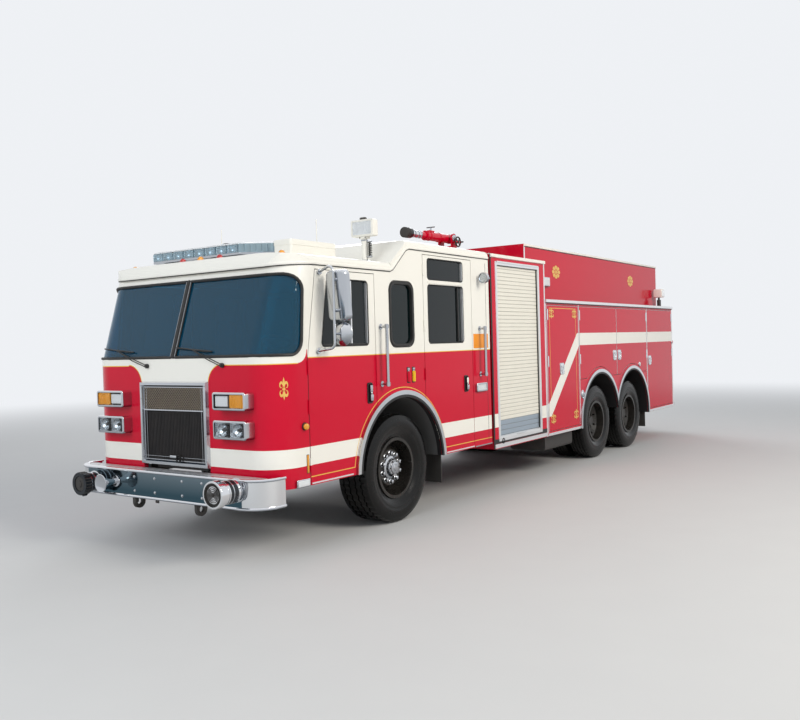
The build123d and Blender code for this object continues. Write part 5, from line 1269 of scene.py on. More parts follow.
def stuffed(name, low, high, taper):
    """Mesh of a pad swollen by cloth pressure from a slightly smaller block; taper thins its top."""
    block = Shape()
    room = Vector((PAD_ROOM, PAD_ROOM, PAD_ROOM))
    block.box(Vector(low) + room, Vector(high) - room, 0, 0.026, 3)
    for vert in block.verts:
        vert.y *= 1 - taper * (vert.z - low[2]) / (high[2] - low[2])
    mesh = bpy.data.meshes.new(name)
    mesh.from_pydata([tuple(v) for v in block.verts], [], block.faces)
    pad = bpy.data.objects.new(name, mesh)
    bpy.context.scene.collection.objects.link(pad)
    remesh = pad.modifiers.new("remesh", "REMESH")
    remesh.mode = "VOXEL"
    remesh.voxel_size = PAD_VOXEL
    remesh.use_smooth_shade = True
    mesh = baked(pad)
    start = [vert.co.copy() for vert in mesh.vertices]
    cloth = pad.modifiers.new("cloth", "CLOTH")
    cloth.settings.quality = 5
    cloth.settings.use_pressure = True
    cloth.settings.uniform_pressure_force = 4.0
    cloth.settings.effector_weights.gravity = 0.0
    for number in range(1, PAD_FRAMES + 1):
        bpy.context.scene.frame_set(number)
    mesh = baked(pad)
    bpy.context.scene.frame_set(1)
    for vert, place in zip(mesh.vertices, start):
        step = vert.co - place
        if step.length > PAD_CAP:
            vert.co = place + step.normalized() * PAD_CAP
    bpy.data.objects.remove(pad)
    return mesh


def channels(mesh, axis, low, across, height):
    """Sew grooves into a pad's outer face, past low on an axis: two lengthwise, one across at a height."""
    for vert in mesh.vertices:
        if vert.co[axis] > low:
            gaps = [abs(vert.co.x - line) for line in SEWN_LINES] + [abs(vert.co[across] - height)]
            vert.co[axis] -= SEWN_DEEP * max(0.0, 1 - min(gaps) / SEWN_HALF)


def seat_pad(name, form, spot, turned):
    """A copy of a pad's form in its place on a seat."""
    mesh = form.copy()
    for vert in mesh.vertices:
        vert.co = spot(*vert.co)
    if turned:
        mesh.flip_normals()
    mesh.materials.clear()
    mesh.materials.append(MATERIALS["cloth"])
    mesh.polygons.foreach_set("use_smooth", [True] * len(mesh.polygons))
    pad = bpy.data.objects.new(name, mesh)
    bpy.context.scene.collection.objects.link(pad)
    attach(pad, "root")
    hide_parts("seats")


def seats():
    """Padded cushion and back for each seat with sewn channels and piping, on a steel base."""
    cushion = stuffed("cushion_form", (-SEAT_HALF, 0.100, SEAT_LOW), (SEAT_HALF, SEAT_REACH, SEAT_HIGH), 0.0)
    channels(cushion, 2, SEAT_HIGH - 0.040, 1, 0.380)
    back = stuffed("back_form", (-SEAT_HALF, 0.0, SEAT_HIGH - 0.020), (SEAT_HALF, BACK_THICK, BACK_TOP),
                   BACK_TAPER)
    channels(back, 1, 0.050, 2, 2.060)
    frame = Shape()
    side, depth = SEAT_HALF - 0.006, BACK_THICK - 0.028
    cushion_edge = rounded_loop(rectangle(-side, 0.112, side, SEAT_REACH - 0.006), 0.030, 4)
    back_edge = rounded_loop(rectangle(-side, SEAT_HIGH, side, BACK_TOP - 0.006), 0.030, 4)
    for number, (x, station, facing) in enumerate(SEATS, 1):
        def spot(a, b, z):
            return at(x + a, station - facing * b, z)

        seat_pad(f"seat_cushion_{number}", cushion, spot, facing > 0)
        seat_pad(f"seat_back_{number}", back, spot, facing > 0)
        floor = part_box("cab_floor")[1].z if facing < 0 else RAISED_FLOOR
        frame.boxes(spot, [
            ((-0.170, 0.130, floor), (0.170, 0.310, SEAT_LOW - 0.022), 0, 0.012, 2),
            ((-0.200, 0.110, SEAT_LOW - 0.026), (0.200, 0.500, SEAT_LOW + 0.006), 0, 0.008, 2),
            ((-0.190, 0.110, floor), (0.190, 0.330, floor + 0.012), 0, 0.004, 2)])
        for a in (-0.150, 0.150):
            frame.box(spot(a - 0.018, 0.040, SEAT_LOW - 0.010), spot(a + 0.018, 0.120, SEAT_LOW + 0.140),
                      0, 0.006)
        frame.wire(spot, [(a, b, SEAT_HIGH - 0.034) for a, b in cushion_edge], 0.0045, 1, 8, True)
        frame.wire(spot, [(a, depth * (1 - BACK_TAPER * (b - SEAT_HIGH) / (BACK_TOP - SEAT_HIGH)), b)
                          for a, b in back_edge], 0.0045, 1, 8, True)
    frame.piece("seat_frames", "root", ["black", "plastic"], ["seats"], slot="interior_black")


# Sides of the cab

MIRROR_X, MIRROR_STATION, MIRROR_Z, MIRROR_LEAN = 1.400, 0.690, 2.2175, radians(4)
FRONT_WINDOW = ((0.610, 1.775), (0.705, 2.378), (1.300, 2.378), (1.300, 1.775))
CREW_LOW_WINDOW = ((2.337, 1.774), (2.337, 2.390), (3.053, 2.390), (3.053, 1.774))
CREW_HIGH_WINDOW = ((2.337, 2.440), (2.337, 2.663), (3.053, 2.663), (3.053, 2.440))
FIXED_WINDOW = ((1.670, 1.775), (1.670, 2.376), (2.040, 2.376), (2.040, 1.775))
WINDOW_CORNER = 0.035


def on_mirror(a, b, depth):
    """Rear face of the mirror, which leans about its middle: x from it, height and distance behind."""
    rise = b - MIRROR_Z
    return at(MIRROR_X + a, MIRROR_STATION + depth * cos(MIRROR_LEAN) - rise * sin(MIRROR_LEAN),
              MIRROR_Z + rise * cos(MIRROR_LEAN) + depth * sin(MIRROR_LEAN))


def mirror_faces():
    """Mirror glass with its rubber edge."""
    shape = Shape()
    outline = rounded_loop(rectangle(-0.094, 2.014, 0.094, 2.421), 0.030, 5)
    shape.plate(on_mirror, outline, (-0.0060, -0.0035))
    shape.border(on_mirror, outline, 0.008, -0.006, -0.001, 1, 0.002)
    pair("mirror_faces", shape, "front_door_body", ["mirror", "rubber"], slot="chrome")


def window_frame(shape, outline, width):
    """Frame pressed into a window opening: flanges outside and inside, and a lining of the cut edge."""
    outer = rounded_loop(grown(outline, width / 2 - 0.005), WINDOW_CORNER + 0.004)
    shape.border(on_side, outer, width, -0.002, 0.004, 0, 0.002)
    shape.border(on_side, rounded_loop(grown(outline, -0.003), WINDOW_CORNER), 0.007, -0.046, 0.004, 0, 0.001)
    shape.border(on_side, outer, width, -0.056, -0.050, 0, 0.002)


def paddle_handle(shape, station, low, high):
    """Recess frame, chrome paddle, lock barrel and fixings over a door handle block."""
    middle = (low + high) / 2
    loop = rounded_loop(rectangle(station - 0.032, low - 0.010, station + 0.032, high + 0.010), 0.010, 3)
    shape.border(on_side, loop, 0.014, 0.0, 0.012, 0, 0.003)
    shape.boxes(on_side, (
        ((station - 0.020, low + 0.008, 0.025), (station + 0.020, middle - 0.012, 0.036), 3, 0.005, 3),
        ((station - 0.019, middle + 0.010, 0.0245), (station + 0.019, high - 0.008, 0.029), 2, 0.003, 2)))
    for z in (middle + 0.022, middle + 0.034, middle + 0.046):
        shape.wire(on_side, ((station - 0.013, z, 0.028), (station + 0.013, z, 0.028)), 0.0018, 1)
    shape.lathe(on_side(station, middle + 0.002, 0.025), OUTWARD,
                ((0, 0.009), (0.005, 0.009), (0.007, 0.006)), 1, 16)


def cab_doors():
    """Window frames, channels, handles and kick strips of the front and crew doors."""
    front = Shape()
    window_frame(front, FRONT_WINDOW, 0.010)
    front.mouldings(on_side, (
        (1.055, 1.780, 1.055, 2.375, 0.022, -0.034, -0.006, 1, 0.003),
        (1.288, 1.785, 1.288, 2.370, 0.016, -0.034, -0.002, 1, 0.003),
        (0.640, 1.790, 1.290, 1.790, 0.020, -0.036, -0.004, 0, 0.002),
        (0.436, 0.600, 1.010, 0.600, 0.014, 0.0, 0.004, 1, 0.001)))
    paddle_handle(front, 1.291, 1.244, 1.407)
    pair("front_door_trim", front, "front_door_body", ["plastic", "aluminium", "satin_chrome", "chrome"],
         slot="black_plastic")
    crew = Shape()
    window_frame(crew, CREW_LOW_WINDOW, 0.009)
    window_frame(crew, CREW_HIGH_WINDOW, 0.009)
    crew.mouldings(on_side, (
        (3.041, 1.785, 3.041, 2.655, 0.016, -0.034, 0.001, 1, 0.003),
        (2.955, 1.785, 2.955, 2.380, 0.018, -0.034, -0.006, 0, 0.003),
        (2.345, 2.415, 3.045, 2.415, 0.030, 0.0, 0.005, 2, 0.002),
        (2.640, 0.600, 3.225, 0.600, 0.014, 0.0, 0.004, 1, 0.001)))
    paddle_handle(crew, 3.072, 1.243, 1.392)
    pair("crew_door_trim", crew, "crew_door_body", ["plastic", "aluminium", "white", "chrome"],
         slot="black_plastic")


def cab_side_fittings():
    """Gasket, markers, lamps, inlet covers and patches on the fixed panels of each side."""
    shape = Shape()
    for out, corner, width, near, far, mark, chamfer in (
            (0.008, 0.085, 0.030, -0.002, 0.009, 0, 0.005), (0.027, 0.100, 0.009, 0.0, 0.006, 3, 0.002),
            (-0.004, 0.078, 0.008, -0.046, 0.006, 0, 0.001)):
        outline = rounded_loop(grown(FIXED_WINDOW, out), corner, 8)
        shape.border(on_side, outline, width, near, far, mark, chamfer)
    shape.lathe(on_side(0.357, 1.10), (1, -0.25, 0), ((-0.01, 0.036), (0.006, 0.034), (0.030, 0.024)), 0, 24)
    shape.lathe(on_side(0.352, 1.10, 0.020), (1, -0.25, 0),
                ((0.0, 0.027), (0.014, 0.027), (0.018, 0.022), (0.021, 0.012), (0.022, 0.004)), 2, 24)
    shape.boxes(on_side, (
        ((0.376, 0.700, -0.002), (0.400, 0.850, 0.006), 2, 0.003, 2),
        ((0.372, 0.694, -0.002), (0.404, 0.856, 0.003), 3, 0.002, 2),
        ((0.230, 0.585, -0.002), (0.395, 0.655, 0.020), 4, 0.008, 3),
        ((3.262, 1.705, 0.0), (3.600, 1.868, 0.0016), 8, 0.0006, 2)))
    fluted_lens(shape, on_side, 0.242, 0.383, 0.595, 0.645, 0.014, 0.023, 5, 9)
    for station, mark in ((1.945, 6), (2.035, 7)):
        shape.lathe(on_side(station, 1.470), UPWARD,
                    ((-0.075, 0.019), (-0.070, 0.023), (0.026, 0.023), (0.034, 0.015)), mark, 20)
        shape.lathe(on_side(station, 1.504), UPWARD,
                    ((0, 0.012), (0.010, 0.012), (0.014, 0.018), (0.030, 0.018), (0.034, 0.012)), 4, 20)
        shape.box(on_side(station - 0.026, 1.385, -0.002), on_side(station + 0.026, 1.545, 0.004), 3, 0.004)
    shape.mouldings(on_side, (
        (3.565, 0.620, 3.565, 2.680, 0.004, 0.0, 0.0015, 3, 0.0),
        (0.300, 0.588, 0.415, 0.588, 0.010, 0.0, 0.003, 1, 0.0),
        (3.250, 0.592, 3.636, 0.592, 0.014, 0.0, 0.004, 1, 0.001)))
    shape.wire(on_side, ((0.420, 0.600, -0.002), (0.420, 1.690, -0.002)), 0.003)
    shape.wire(on_side, ((0.420, 1.690, -0.010), (0.545, 2.452, -0.010)), 0.003)
    pair("cab_fittings", shape, "root", ["rubber", "satin_chrome", "amber", "plastic", "chrome", "white_lens",
                                         "red", "yellow", "orange"], slot="black_plastic")


RAISE_START, RAISE_END = 1.690, 1.980
EDGE_LOW, EDGE_HIGH = 2.510, 2.752
BROW_STATION, BROW_RADIUS, BROW_DROP = 0.225, 0.300, 0.018


def roof_edge_path():
    """Path round the brow and back along the side: x, station, outward direction and height."""
    flat, low = HALF - BROW_RADIUS, EDGE_LOW - BROW_DROP
    path = [(x, BROW_STATION, 0.0, -1.0, low) for x in (0.0, 0.3, 0.6)]
    for k in range(11):
        angle = pi / 2 * k / 10
        path.append((flat + BROW_RADIUS * sin(angle), BROW_STATION + BROW_RADIUS - BROW_RADIUS * cos(angle),
                     sin(angle), -cos(angle), low + BROW_DROP * k / 10))
    path += [(HALF, station, 1.0, 0.0, z) for station, z in (
        (1.2, EDGE_LOW), (RAISE_START - 0.02, EDGE_LOW), (RAISE_START + 0.03, EDGE_LOW + 0.018),
        (RAISE_END - 0.03, EDGE_HIGH - 0.020), (RAISE_END + 0.03, EDGE_HIGH), (3.638, EDGE_HIGH))]
    return path


def roof_moulding():
    """White moulding round the roof's edge, with a black tube under it as a painted shadow line."""
    shape = Shape()
    section = ((0.0, -0.018), (0.006, -0.016), (0.009, -0.008), (0.009, 0.002), (0.005, 0.010),
               (-0.004, 0.013))
    path = roof_edge_path()
    shape.loft([[at(x + out_x * out, station + out_y * out, z + rise) for out, rise in section]
                for x, station, out_x, out_y, z in path])
    # Painted shadow: a black tube under the moulding stands for the shade it casts.
    shape.tube([at(x + out_x * 0.003, station + out_y * 0.003, z - 0.022)
                for x, station, out_x, out_y, z in path], 0.0045, 1, 6)
    shape.with_mirror().piece("roof_moulding", "root", ["white", "plastic"], slot="white_paint")


def ornament(shape, place, a0, b0, width, height):
    """A traditional gilt scroll ornament: two spears, four curls and a waist band, flat and raised."""
    def spot(a, b, depth):
        return place(a0 + a * width, b0 + b * height, depth)

    for sign, reach in ((1, 0.50), (-1, 0.46)):
        spear = ((0.0, reach), (0.085, reach - 0.16), (0.030, 0.17), (0.0, 0.10), (-0.030, 0.17),
                 (-0.085, reach - 0.16))
        shape.plate(spot, [(a, sign * b) for a, b in spear], (0.0006, 0.0024))
        for turn in (1, -1):
            path, widths = [], []
            for k in range(15):
                t = k / 14
                angle = radians(215 - 330 * t)
                radius = 0.19 - 0.12 * t
                path.append((turn * (0.23 + radius * cos(angle)), sign * (0.14 + radius * sin(angle) * 0.95)))
                widths.append(0.035 + 0.075 * sin(pi * min(t * 1.3, 1.0)))
            shape.strip(path, widths, 0.0006, 0.0022, spot)
    shape.plate(spot, [(a, 0.3 * b) for a, b in around(14, 0.15)], (0.0006, 0.0030))


def rosette(shape, place, a0, b0, width, height):
    """A round gilt rosette of eight petals and a boss."""
    petal = ((0.13, 0.0), (0.30, 0.36), (0.46, 0.30), (0.50, 0.0), (0.46, -0.30), (0.30, -0.36))
    for k in range(8):
        turn = 2 * pi * k / 8
        outline = [(a0 + width * reach * cos(turn + spread), b0 + height * reach * sin(turn + spread))
                   for reach, spread in petal]
        shape.plate(place, outline, (0.0006, 0.0024))
    shape.plate(place, [(a0 + width * a, b0 + height * b) for a, b in around(16, 0.12)], (0.0006, 0.0036))


def on_corner(a, b, depth):
    """Distance round the cab's front corner from the flat face, with height."""
    angle = min(max(a / CORNER_LOW, 0.0), pi / 2)
    reach = CORNER_LOW + depth
    return at(HALF - CORNER_LOW + reach * sin(angle), CORNER_LOW - reach * cos(angle), b)


def gilt_ornaments():
    """Scrolls on the cab's corner and the front locker, and rosettes on the upper module."""
    corner = Shape()
    ornament(corner, on_corner, 0.320, 1.430, 0.100, 0.200)
    pair("corner_ornament", corner, "root", ["gold"])
    locker = Shape()
    for station in (5.335, 6.085):
        for z in (2.125, 0.720):
            ornament(locker, on_side, station, z, 0.190, 0.150)
    pair("locker_ornaments", locker, "locker_front", ["gold"])
    module = Shape()
    for station in (6.135, 9.133):
        rosette(module, on_module, station, 2.735, 0.270, 0.190)
    pair("module_rosette", module, "root", ["gold"])


# Bumper and front fittings

BUMPER_FRONT, BUMPER_LOW, BUMPER_HIGH = -0.200, 0.455, 0.710
BUMPER_CORNER, BUMPER_END = 0.230, 0.100
SIREN_X, SIREN_Z, SIREN_FACE = 0.960, 0.620, -0.460
HORN_X, HORN_Z, HORN_R = -0.600, 0.590, 0.080
INLET_X, INLET_Z, INLET_FACE = -0.880, 0.570, -0.400
TREAD_PITCH = 0.046


def bumper_path():
    """Plan path of the bumper's face from the middle round to its end."""
    path = [(x, BUMPER_FRONT) for x in (0.0, 0.4, 0.8)]
    for k in range(11):
        angle = pi / 2 * k / 10
        path.append((HALF - BUMPER_CORNER + BUMPER_CORNER * sin(angle),
                     BUMPER_FRONT + BUMPER_CORNER - BUMPER_CORNER * cos(angle)))
    return path + [(HALF, BUMPER_END)]


def bumper_trim():
    """Rolled edges, bolts and the drain and socket under the bumper."""
    shape = Shape()
    for z in (BUMPER_LOW + 0.012, BUMPER_HIGH - 0.012):
        shape.tube([at(x, station, z) for x, station in bumper_path()], 0.013)
    shape = shape.with_mirror()
    for x in (-0.34, -0.06, 0.30, 0.55):
        for z in (0.520, 0.645):
            shape.lathe(at(x, BUMPER_FRONT, z), FORWARD,
                        ((-0.002, 0.013), (0.002, 0.013), (0.003, 0.010), (0.007, 0.009), (0.009, 0.005)),
                        0, 16)
    shape.box(at(-0.055, BUMPER_FRONT - 0.004, 0.430), at(-0.015, BUMPER_FRONT + 0.010, 0.456), 1, 0.004)
    shape.lathe(at(-0.330, BUMPER_FRONT + 0.02, 0.430), FORWARD,
                ((0, 0.020), (0.03, 0.020), (0.034, 0.014)), 1, 16)
    shape.piece("bumper_trim", "root", ["chrome", "black"], slot="chrome")


def siren_face():
    """Stepped rings and spokes of the siren's grille, and rings round its body."""
    shape = Shape()
    face = ahead_of(SIREN_X, SIREN_FACE + 0.010, SIREN_Z)
    for radius in (0.088, 0.074, 0.060, 0.046, 0.032, 0.018):
        shape.wire(face, [(a, b, 0.004) for a, b in around(40, radius)], 0.003, 3, 8, True)
    for a, b in around(4, 1.0, pi / 4):
        shape.wire(face, [(a * reach, b * reach, 0.002) for reach in (0.016, 0.094)], 0.003, 3)
    shape.lathe(face(0, 0), FORWARD, ((0, 0.016), (0.006, 0.015), (0.009, 0.006)), 3, 20)
    shape.lathe(face(0, 0, -0.002), FORWARD, ((-0.002, 0.096), (0.0, 0.096)), 1, 40)
    for reach, radius in ((0.066, 0.103), (0.100, 0.1005), (0.150, 0.1005), (0.200, 0.1005)):
        shape.band(at(SIREN_X, SIREN_FACE + reach, SIREN_Z), REARWARD, 0.005, radius, 2, 40, 0.003, 0.004)
    shape.lathe(at(SIREN_X, -0.240, SIREN_Z), REARWARD,
                ((0.0, 0.075), (0.004, 0.082), (0.036, 0.082), (0.040, 0.100), (0.046, 0.100)), 2, 40)
    shape.bolts(ahead_of(SIREN_X, BUMPER_FRONT - 0.002, SIREN_Z), 6, 0.092, FORWARD,
                ((-0.003, 0.007), (0.003, 0.007), (0.005, 0.004)), 2, 8, 0.3)
    shape.piece("siren_detail", "root", ["satin_chrome", "black", "chrome", "rim"], slot="chrome")


def front_connections():
    """Horn ring and bell lining, and the cap of the suction inlet with its lugs."""
    shape = Shape()
    for reach, profile, mark, sides in (
            (0.170, ((-0.003, HORN_R - 0.006), (-0.005, HORN_R - 0.001), (-0.002, HORN_R + 0.004),
                     (0.004, HORN_R)), 1, 40),
            (0.004, ((-0.008, 0.040), (-0.006, 0.052), (0.0, 0.054)), 1, 32),
            (0.040, ((0, 0.016), (0.030, 0.016)), 0, 16)):
        shape.lathe(at(HORN_X, BUMPER_FRONT - reach, HORN_Z), REARWARD, profile, mark, sides)
    cap = ahead_of(INLET_X, INLET_FACE, INLET_Z)
    shape.lathe(cap(0, 0), REARWARD,
                ((0.019, 0.069), (0.006, 0.066), (0.004, 0.034), (-0.004, 0.030), (-0.005, 0.004)), 0, 40)
    for a, b in around(24, 0.104):
        shape.cylinder(cap(a, b, -0.006), cap(a, b, -0.064), 0.0042, 0, 6)
    for station, radius in ((-0.325, 0.096), (-0.280, 0.095), (-0.230, 0.100)):
        shape.band(at(INLET_X, station, INLET_Z), REARWARD, 0.007, radius, 1, 40)
    shape.bolts(ahead_of(INLET_X, BUMPER_FRONT - 0.003, INLET_Z), 8, 0.086, FORWARD,
                ((-0.003, 0.008), (0.004, 0.008), (0.006, 0.004)), 1, 8, 0.2)
    shape.piece("front_connections", "root", ["black", "chrome"], slot="chassis_black")


def treadplate():
    """Raised bars of the treadplate on the front deck and on the tailboard."""
    shape = Shape()

    def lug(x, station, z, turned):
        a, b = (0.012, 0.0035) if turned else (0.0035, 0.012)
        shape.loft([[at(x + p * share, station + q * share, z + rise)
                     for p, q in ((-a, 0), (0, -b), (a, 0), (0, b))]
                    for share, rise in ((1.0, 0.0), (0.5, 0.0018))])

    for row in range(3):
        for column in range(50):
            x = (column - 24.5) * TREAD_PITCH
            if abs(x) <= 1.130 - 0.05 * (2 - row):
                lug(x, -0.148 + row * TREAD_PITCH, 0.7058, (row + column) % 2)
    for row in range(7):
        for column in range(48):
            lug((column - 23.5) * TREAD_PITCH, BODY_REAR + 0.045 + row * TREAD_PITCH, 0.5698,
                (row + column) % 2)
    shape.piece("treadplate_lugs", "root", ["tread"], slot="treadplate")


# Roof

BAR_LOW, BAR_HIGH, BAR_START, BAR_LENGTH, BAR_UNITS = 2.655, 2.765, -0.925, 1.215, 8
MAST_X, MAST_STATION, MAST_FACE, MAST_TUBE_TOP = 0.980, 1.610, 1.5675, 2.813
MAST_HEAD_HALF, MAST_HEAD_LOW, MAST_HEAD_HIGH = 0.133, 2.845, 3.010
COIL_TURNS, COIL_STEPS = 8, 16


def lightbar():
    """Light bar: a row of clear modules with reflectors inside, and a swept end."""
    shape = Shape()
    low, high = BAR_LOW, BAR_HIGH
    outline = rounded_loop([(-0.930, 0.560), (0.300, 0.560), (0.600, 0.800), (0.600, 1.090), (0.440, 1.090),
                            (0.240, 0.850), (-0.930, 0.850)], 0.030, 4)
    shape.plate(at, outline, (low, low + 0.020), 1)
    centre = sum(a for a, b in outline) / len(outline)
    shape.loft([[at(a + (centre - a) * inward, 0.72 + (b - 0.72) * narrow, z) for a, b in outline]
                for inward, narrow, z in ((0.01, 1.0, high - 0.012), (0.01, 1.0, high - 0.004),
                                          (0.06, 0.90, high + 0.004))], 2)
    bulb = [(-0.016 * cos(pi * k / 8), 0.016 * sin(pi * k / 8)) for k in range(9)]
    for k in range(BAR_UNITS):
        a0, a1 = (BAR_START + BAR_LENGTH * step / BAR_UNITS for step in (k, k + 1))
        middle = (a0 + a1) / 2
        shape.box(at(a0 + 0.004, 0.562, low + 0.018), at(a1 - 0.004, 0.848, high - 0.010), 0, 0.012)
        for station, sense in ((0.600, -1), (0.810, 1)):
            shape.lathe(at(middle, station, low + 0.060), (0, sense, 0),
                        ((-0.030, 0.006), (-0.020, 0.028), (0.0, 0.040), (0.001, 0.040), (-0.010, 0.024)),
                        3, 20)
        shape.lathe(at(middle, 0.705, low + 0.055), UPWARD, bulb, 4 if k % 2 else 3, 10)
        for z in (low + 0.036, low + 0.058, low + 0.080):
            shape.wire(at, ((a0 + 0.008, 0.5605, z), (a1 - 0.008, 0.5605, z)), 0.0022, 0, 5)
    for k in range(7):
        ends = (k / 7, (k + 1) / 7 - 0.01)
        panel = [(0.300 + 0.300 * t, 0.560 + 0.240 * t) for t in ends]
        panel += [(0.245 + 0.190 * t, 0.860 + 0.215 * t) for t in reversed(ends)]
        shape.plate(at, panel, (low + 0.018, high - 0.010))
    for a in (-0.750, 0.150):
        shape.box(at(a - 0.050, 0.615, 2.585), at(a + 0.050, 0.795, low + 0.004), 1, 0.008)
        shape.box(at(a - 0.060, 0.600, 2.640), at(a + 0.060, 0.810, 2.652), 1, 0.004)
    shape.piece("lightbar_modules", "root", ["bar_glass", "satin_chrome", "white_lens", "chrome", "red_lens"],
                ["lightbar"], slot="lens_clear")


def roof_fittings():
    """Box lid and its catches, the dome and the aerial bases."""
    shape = Shape()
    lid = rounded_loop(rectangle(0.606, 0.696, 0.834, 1.354), 0.028, 4)
    shape.loft([[at(0.72 + (a - 0.72) * across, 1.025 + (b - 1.025) * along, z) for a, b in lid]
                for across, along, z in ((1.0, 1.0, 2.716), (1.0, 1.0, 2.758), (0.93, 0.975, 2.768))], 2)
    for a in (0.655, 0.785):
        shape.box(at(a - 0.016, 1.350, 2.690), at(a + 0.016, 1.362, 2.735), 3, 0.003)
    shape.plate(at, rounded_loop(rectangle(-0.426, 0.874, -0.174, 1.106), 0.018, 3), (2.770, 2.794), 2)
    shape.lathe(at(-0.300, 0.990, 2.790), UPWARD,
                ((0.0, 0.078), (0.008, 0.076), (0.010, 0.070), (0.030, 0.066), (0.046, 0.050), (0.054, 0.026),
                 (0.056, 0.004)), 4, 32)
    for x, station in ((-0.700, 1.300), (0.500, 1.450)):
        shape.lathe(at(x, station, 2.640), UPWARD,
                    ((0, 0.036), (0.012, 0.034), (0.020, 0.024), (0.062, 0.020), (0.070, 0.012),
                     (0.130, 0.006), (0.140, 0.005)), 4, 20)
    shape.piece("roof_fittings", "root", ["amber", "plastic", "white", "chrome", "black"], slot="white_paint")


def mast_lamp():
    """Lamp face with fluted glass, its frame, fins and bracket bolts."""
    shape = Shape()
    on_mast = ahead_of(MAST_X, MAST_FACE, 0.0)
    half, low, high = MAST_HEAD_HALF - 0.016, MAST_HEAD_LOW + 0.016, MAST_HEAD_HIGH - 0.016
    shape.box(on_mast(-half, low, -0.0052), on_mast(half, high, -0.0040), 1)
    fluted_lens(shape, on_mast, -half + 0.002, half - 0.002, low + 0.002, high - 0.002, -0.0038, -0.0015,
                0, 18)
    loop = rounded_loop(rectangle(-half, low, half, high), 0.012, 4)
    shape.border(on_mast, loop, 0.010, -0.006, 0.003, 2, 0.003)
    for k in range(9):
        a = -0.100 + 0.200 * k / 8
        shape.box(on_mast(a - 0.003, low + 0.010, -0.083), on_mast(a + 0.003, high - 0.010, -0.095), 2, 0.001)
    knob = rounded_loop(rectangle(-0.044, -0.064, 0.026, -0.020), 0.014, 4)
    crown = [(-0.009 + (a + 0.009) * 0.8, -0.0415 + (b + 0.042) * 0.8) for a, b in knob]
    shape.loft([[on_mast(a, MAST_HEAD_HIGH + rise, b) for a, b in ring]
                for ring, rise in ((knob, -0.001), (knob, 0.020), (crown, 0.026))], 3)
    for a in (-0.034, 0.034):
        shape.lathe(at(MAST_X + a, MAST_STATION - 0.030, MAST_HEAD_LOW - 0.011), FORWARD,
                    ((-0.001, 0.006), (0.004, 0.006), (0.006, 0.004)), 3, 8)
    shape.piece("mast_lamp", "light_mast", ["white_lens", "chrome", "white", "black"], slot="white_paint")


def mast_coil():
    """Coiled cable beside the mast with its clips, and the collars of the mast's lower tube."""
    coil = Shape()
    points = []
    for k in range(COIL_TURNS * COIL_STEPS + 1):
        turn = 2 * pi * k / COIL_STEPS
        points.append(at(MAST_X + 0.066 + 0.016 * cos(turn), MAST_STATION + 0.016 * sin(turn),
                         2.650 + 0.136 * k / COIL_STEPS / COIL_TURNS))
    coil.tube(points, 0.0052, 0, 8)
    for z in (2.636, 2.784):
        coil.box(at(MAST_X + 0.026, MAST_STATION - 0.012, z),
                 at(MAST_X + 0.086, MAST_STATION + 0.012, z + 0.016), 1, 0.004)
    coil.lathe(at(MAST_X, MAST_STATION, 2.600), UPWARD,
               ((0, 0.064), (0.004, 0.064), (0.012, 0.050), (0.020, 0.034)), 1, 28)
    coil.lathe(at(MAST_X, MAST_STATION, MAST_TUBE_TOP - 0.012), UPWARD,
               ((0, 0.033), (0.002, 0.036), (0.010, 0.036), (0.0128, 0.033), (0.0128, 0.0265), (0.0, 0.0265)),
               1, 28)
    coil.piece("mast_coil", "root", ["plastic", "satin_chrome"], slot="black_plastic")


# Pump house and deck gun

PUMP_FRONT, PUMP_REAR, PUMP_LOW, PUMP_TOP = 3.700, 5.130, 0.505, 2.805
SHUTTER_FRONT, SHUTTER_REAR, SHUTTER_LOW, SHUTTER_HIGH = 3.840, 4.945, 0.620, 2.690
GUN_X, GUN_STATION, GUN_PIVOT = 0.250, 4.350, 3.120
# Rings along the barrel: station, radius and mark
BARREL_RINGS = ((3.370, 0.064, 0), (3.386, 0.064, 0), (3.402, 0.064, 0), (3.418, 0.064, 0), (3.434, 0.064, 0),
                (3.500, 0.049, 1), (3.560, 0.048, 1), (3.640, 0.048, 1), (3.700, 0.048, 1), (3.822, 0.062, 2),
                (3.900, 0.0605, 2), (4.120, 0.0605, 2), (4.396, 0.0605, 2))


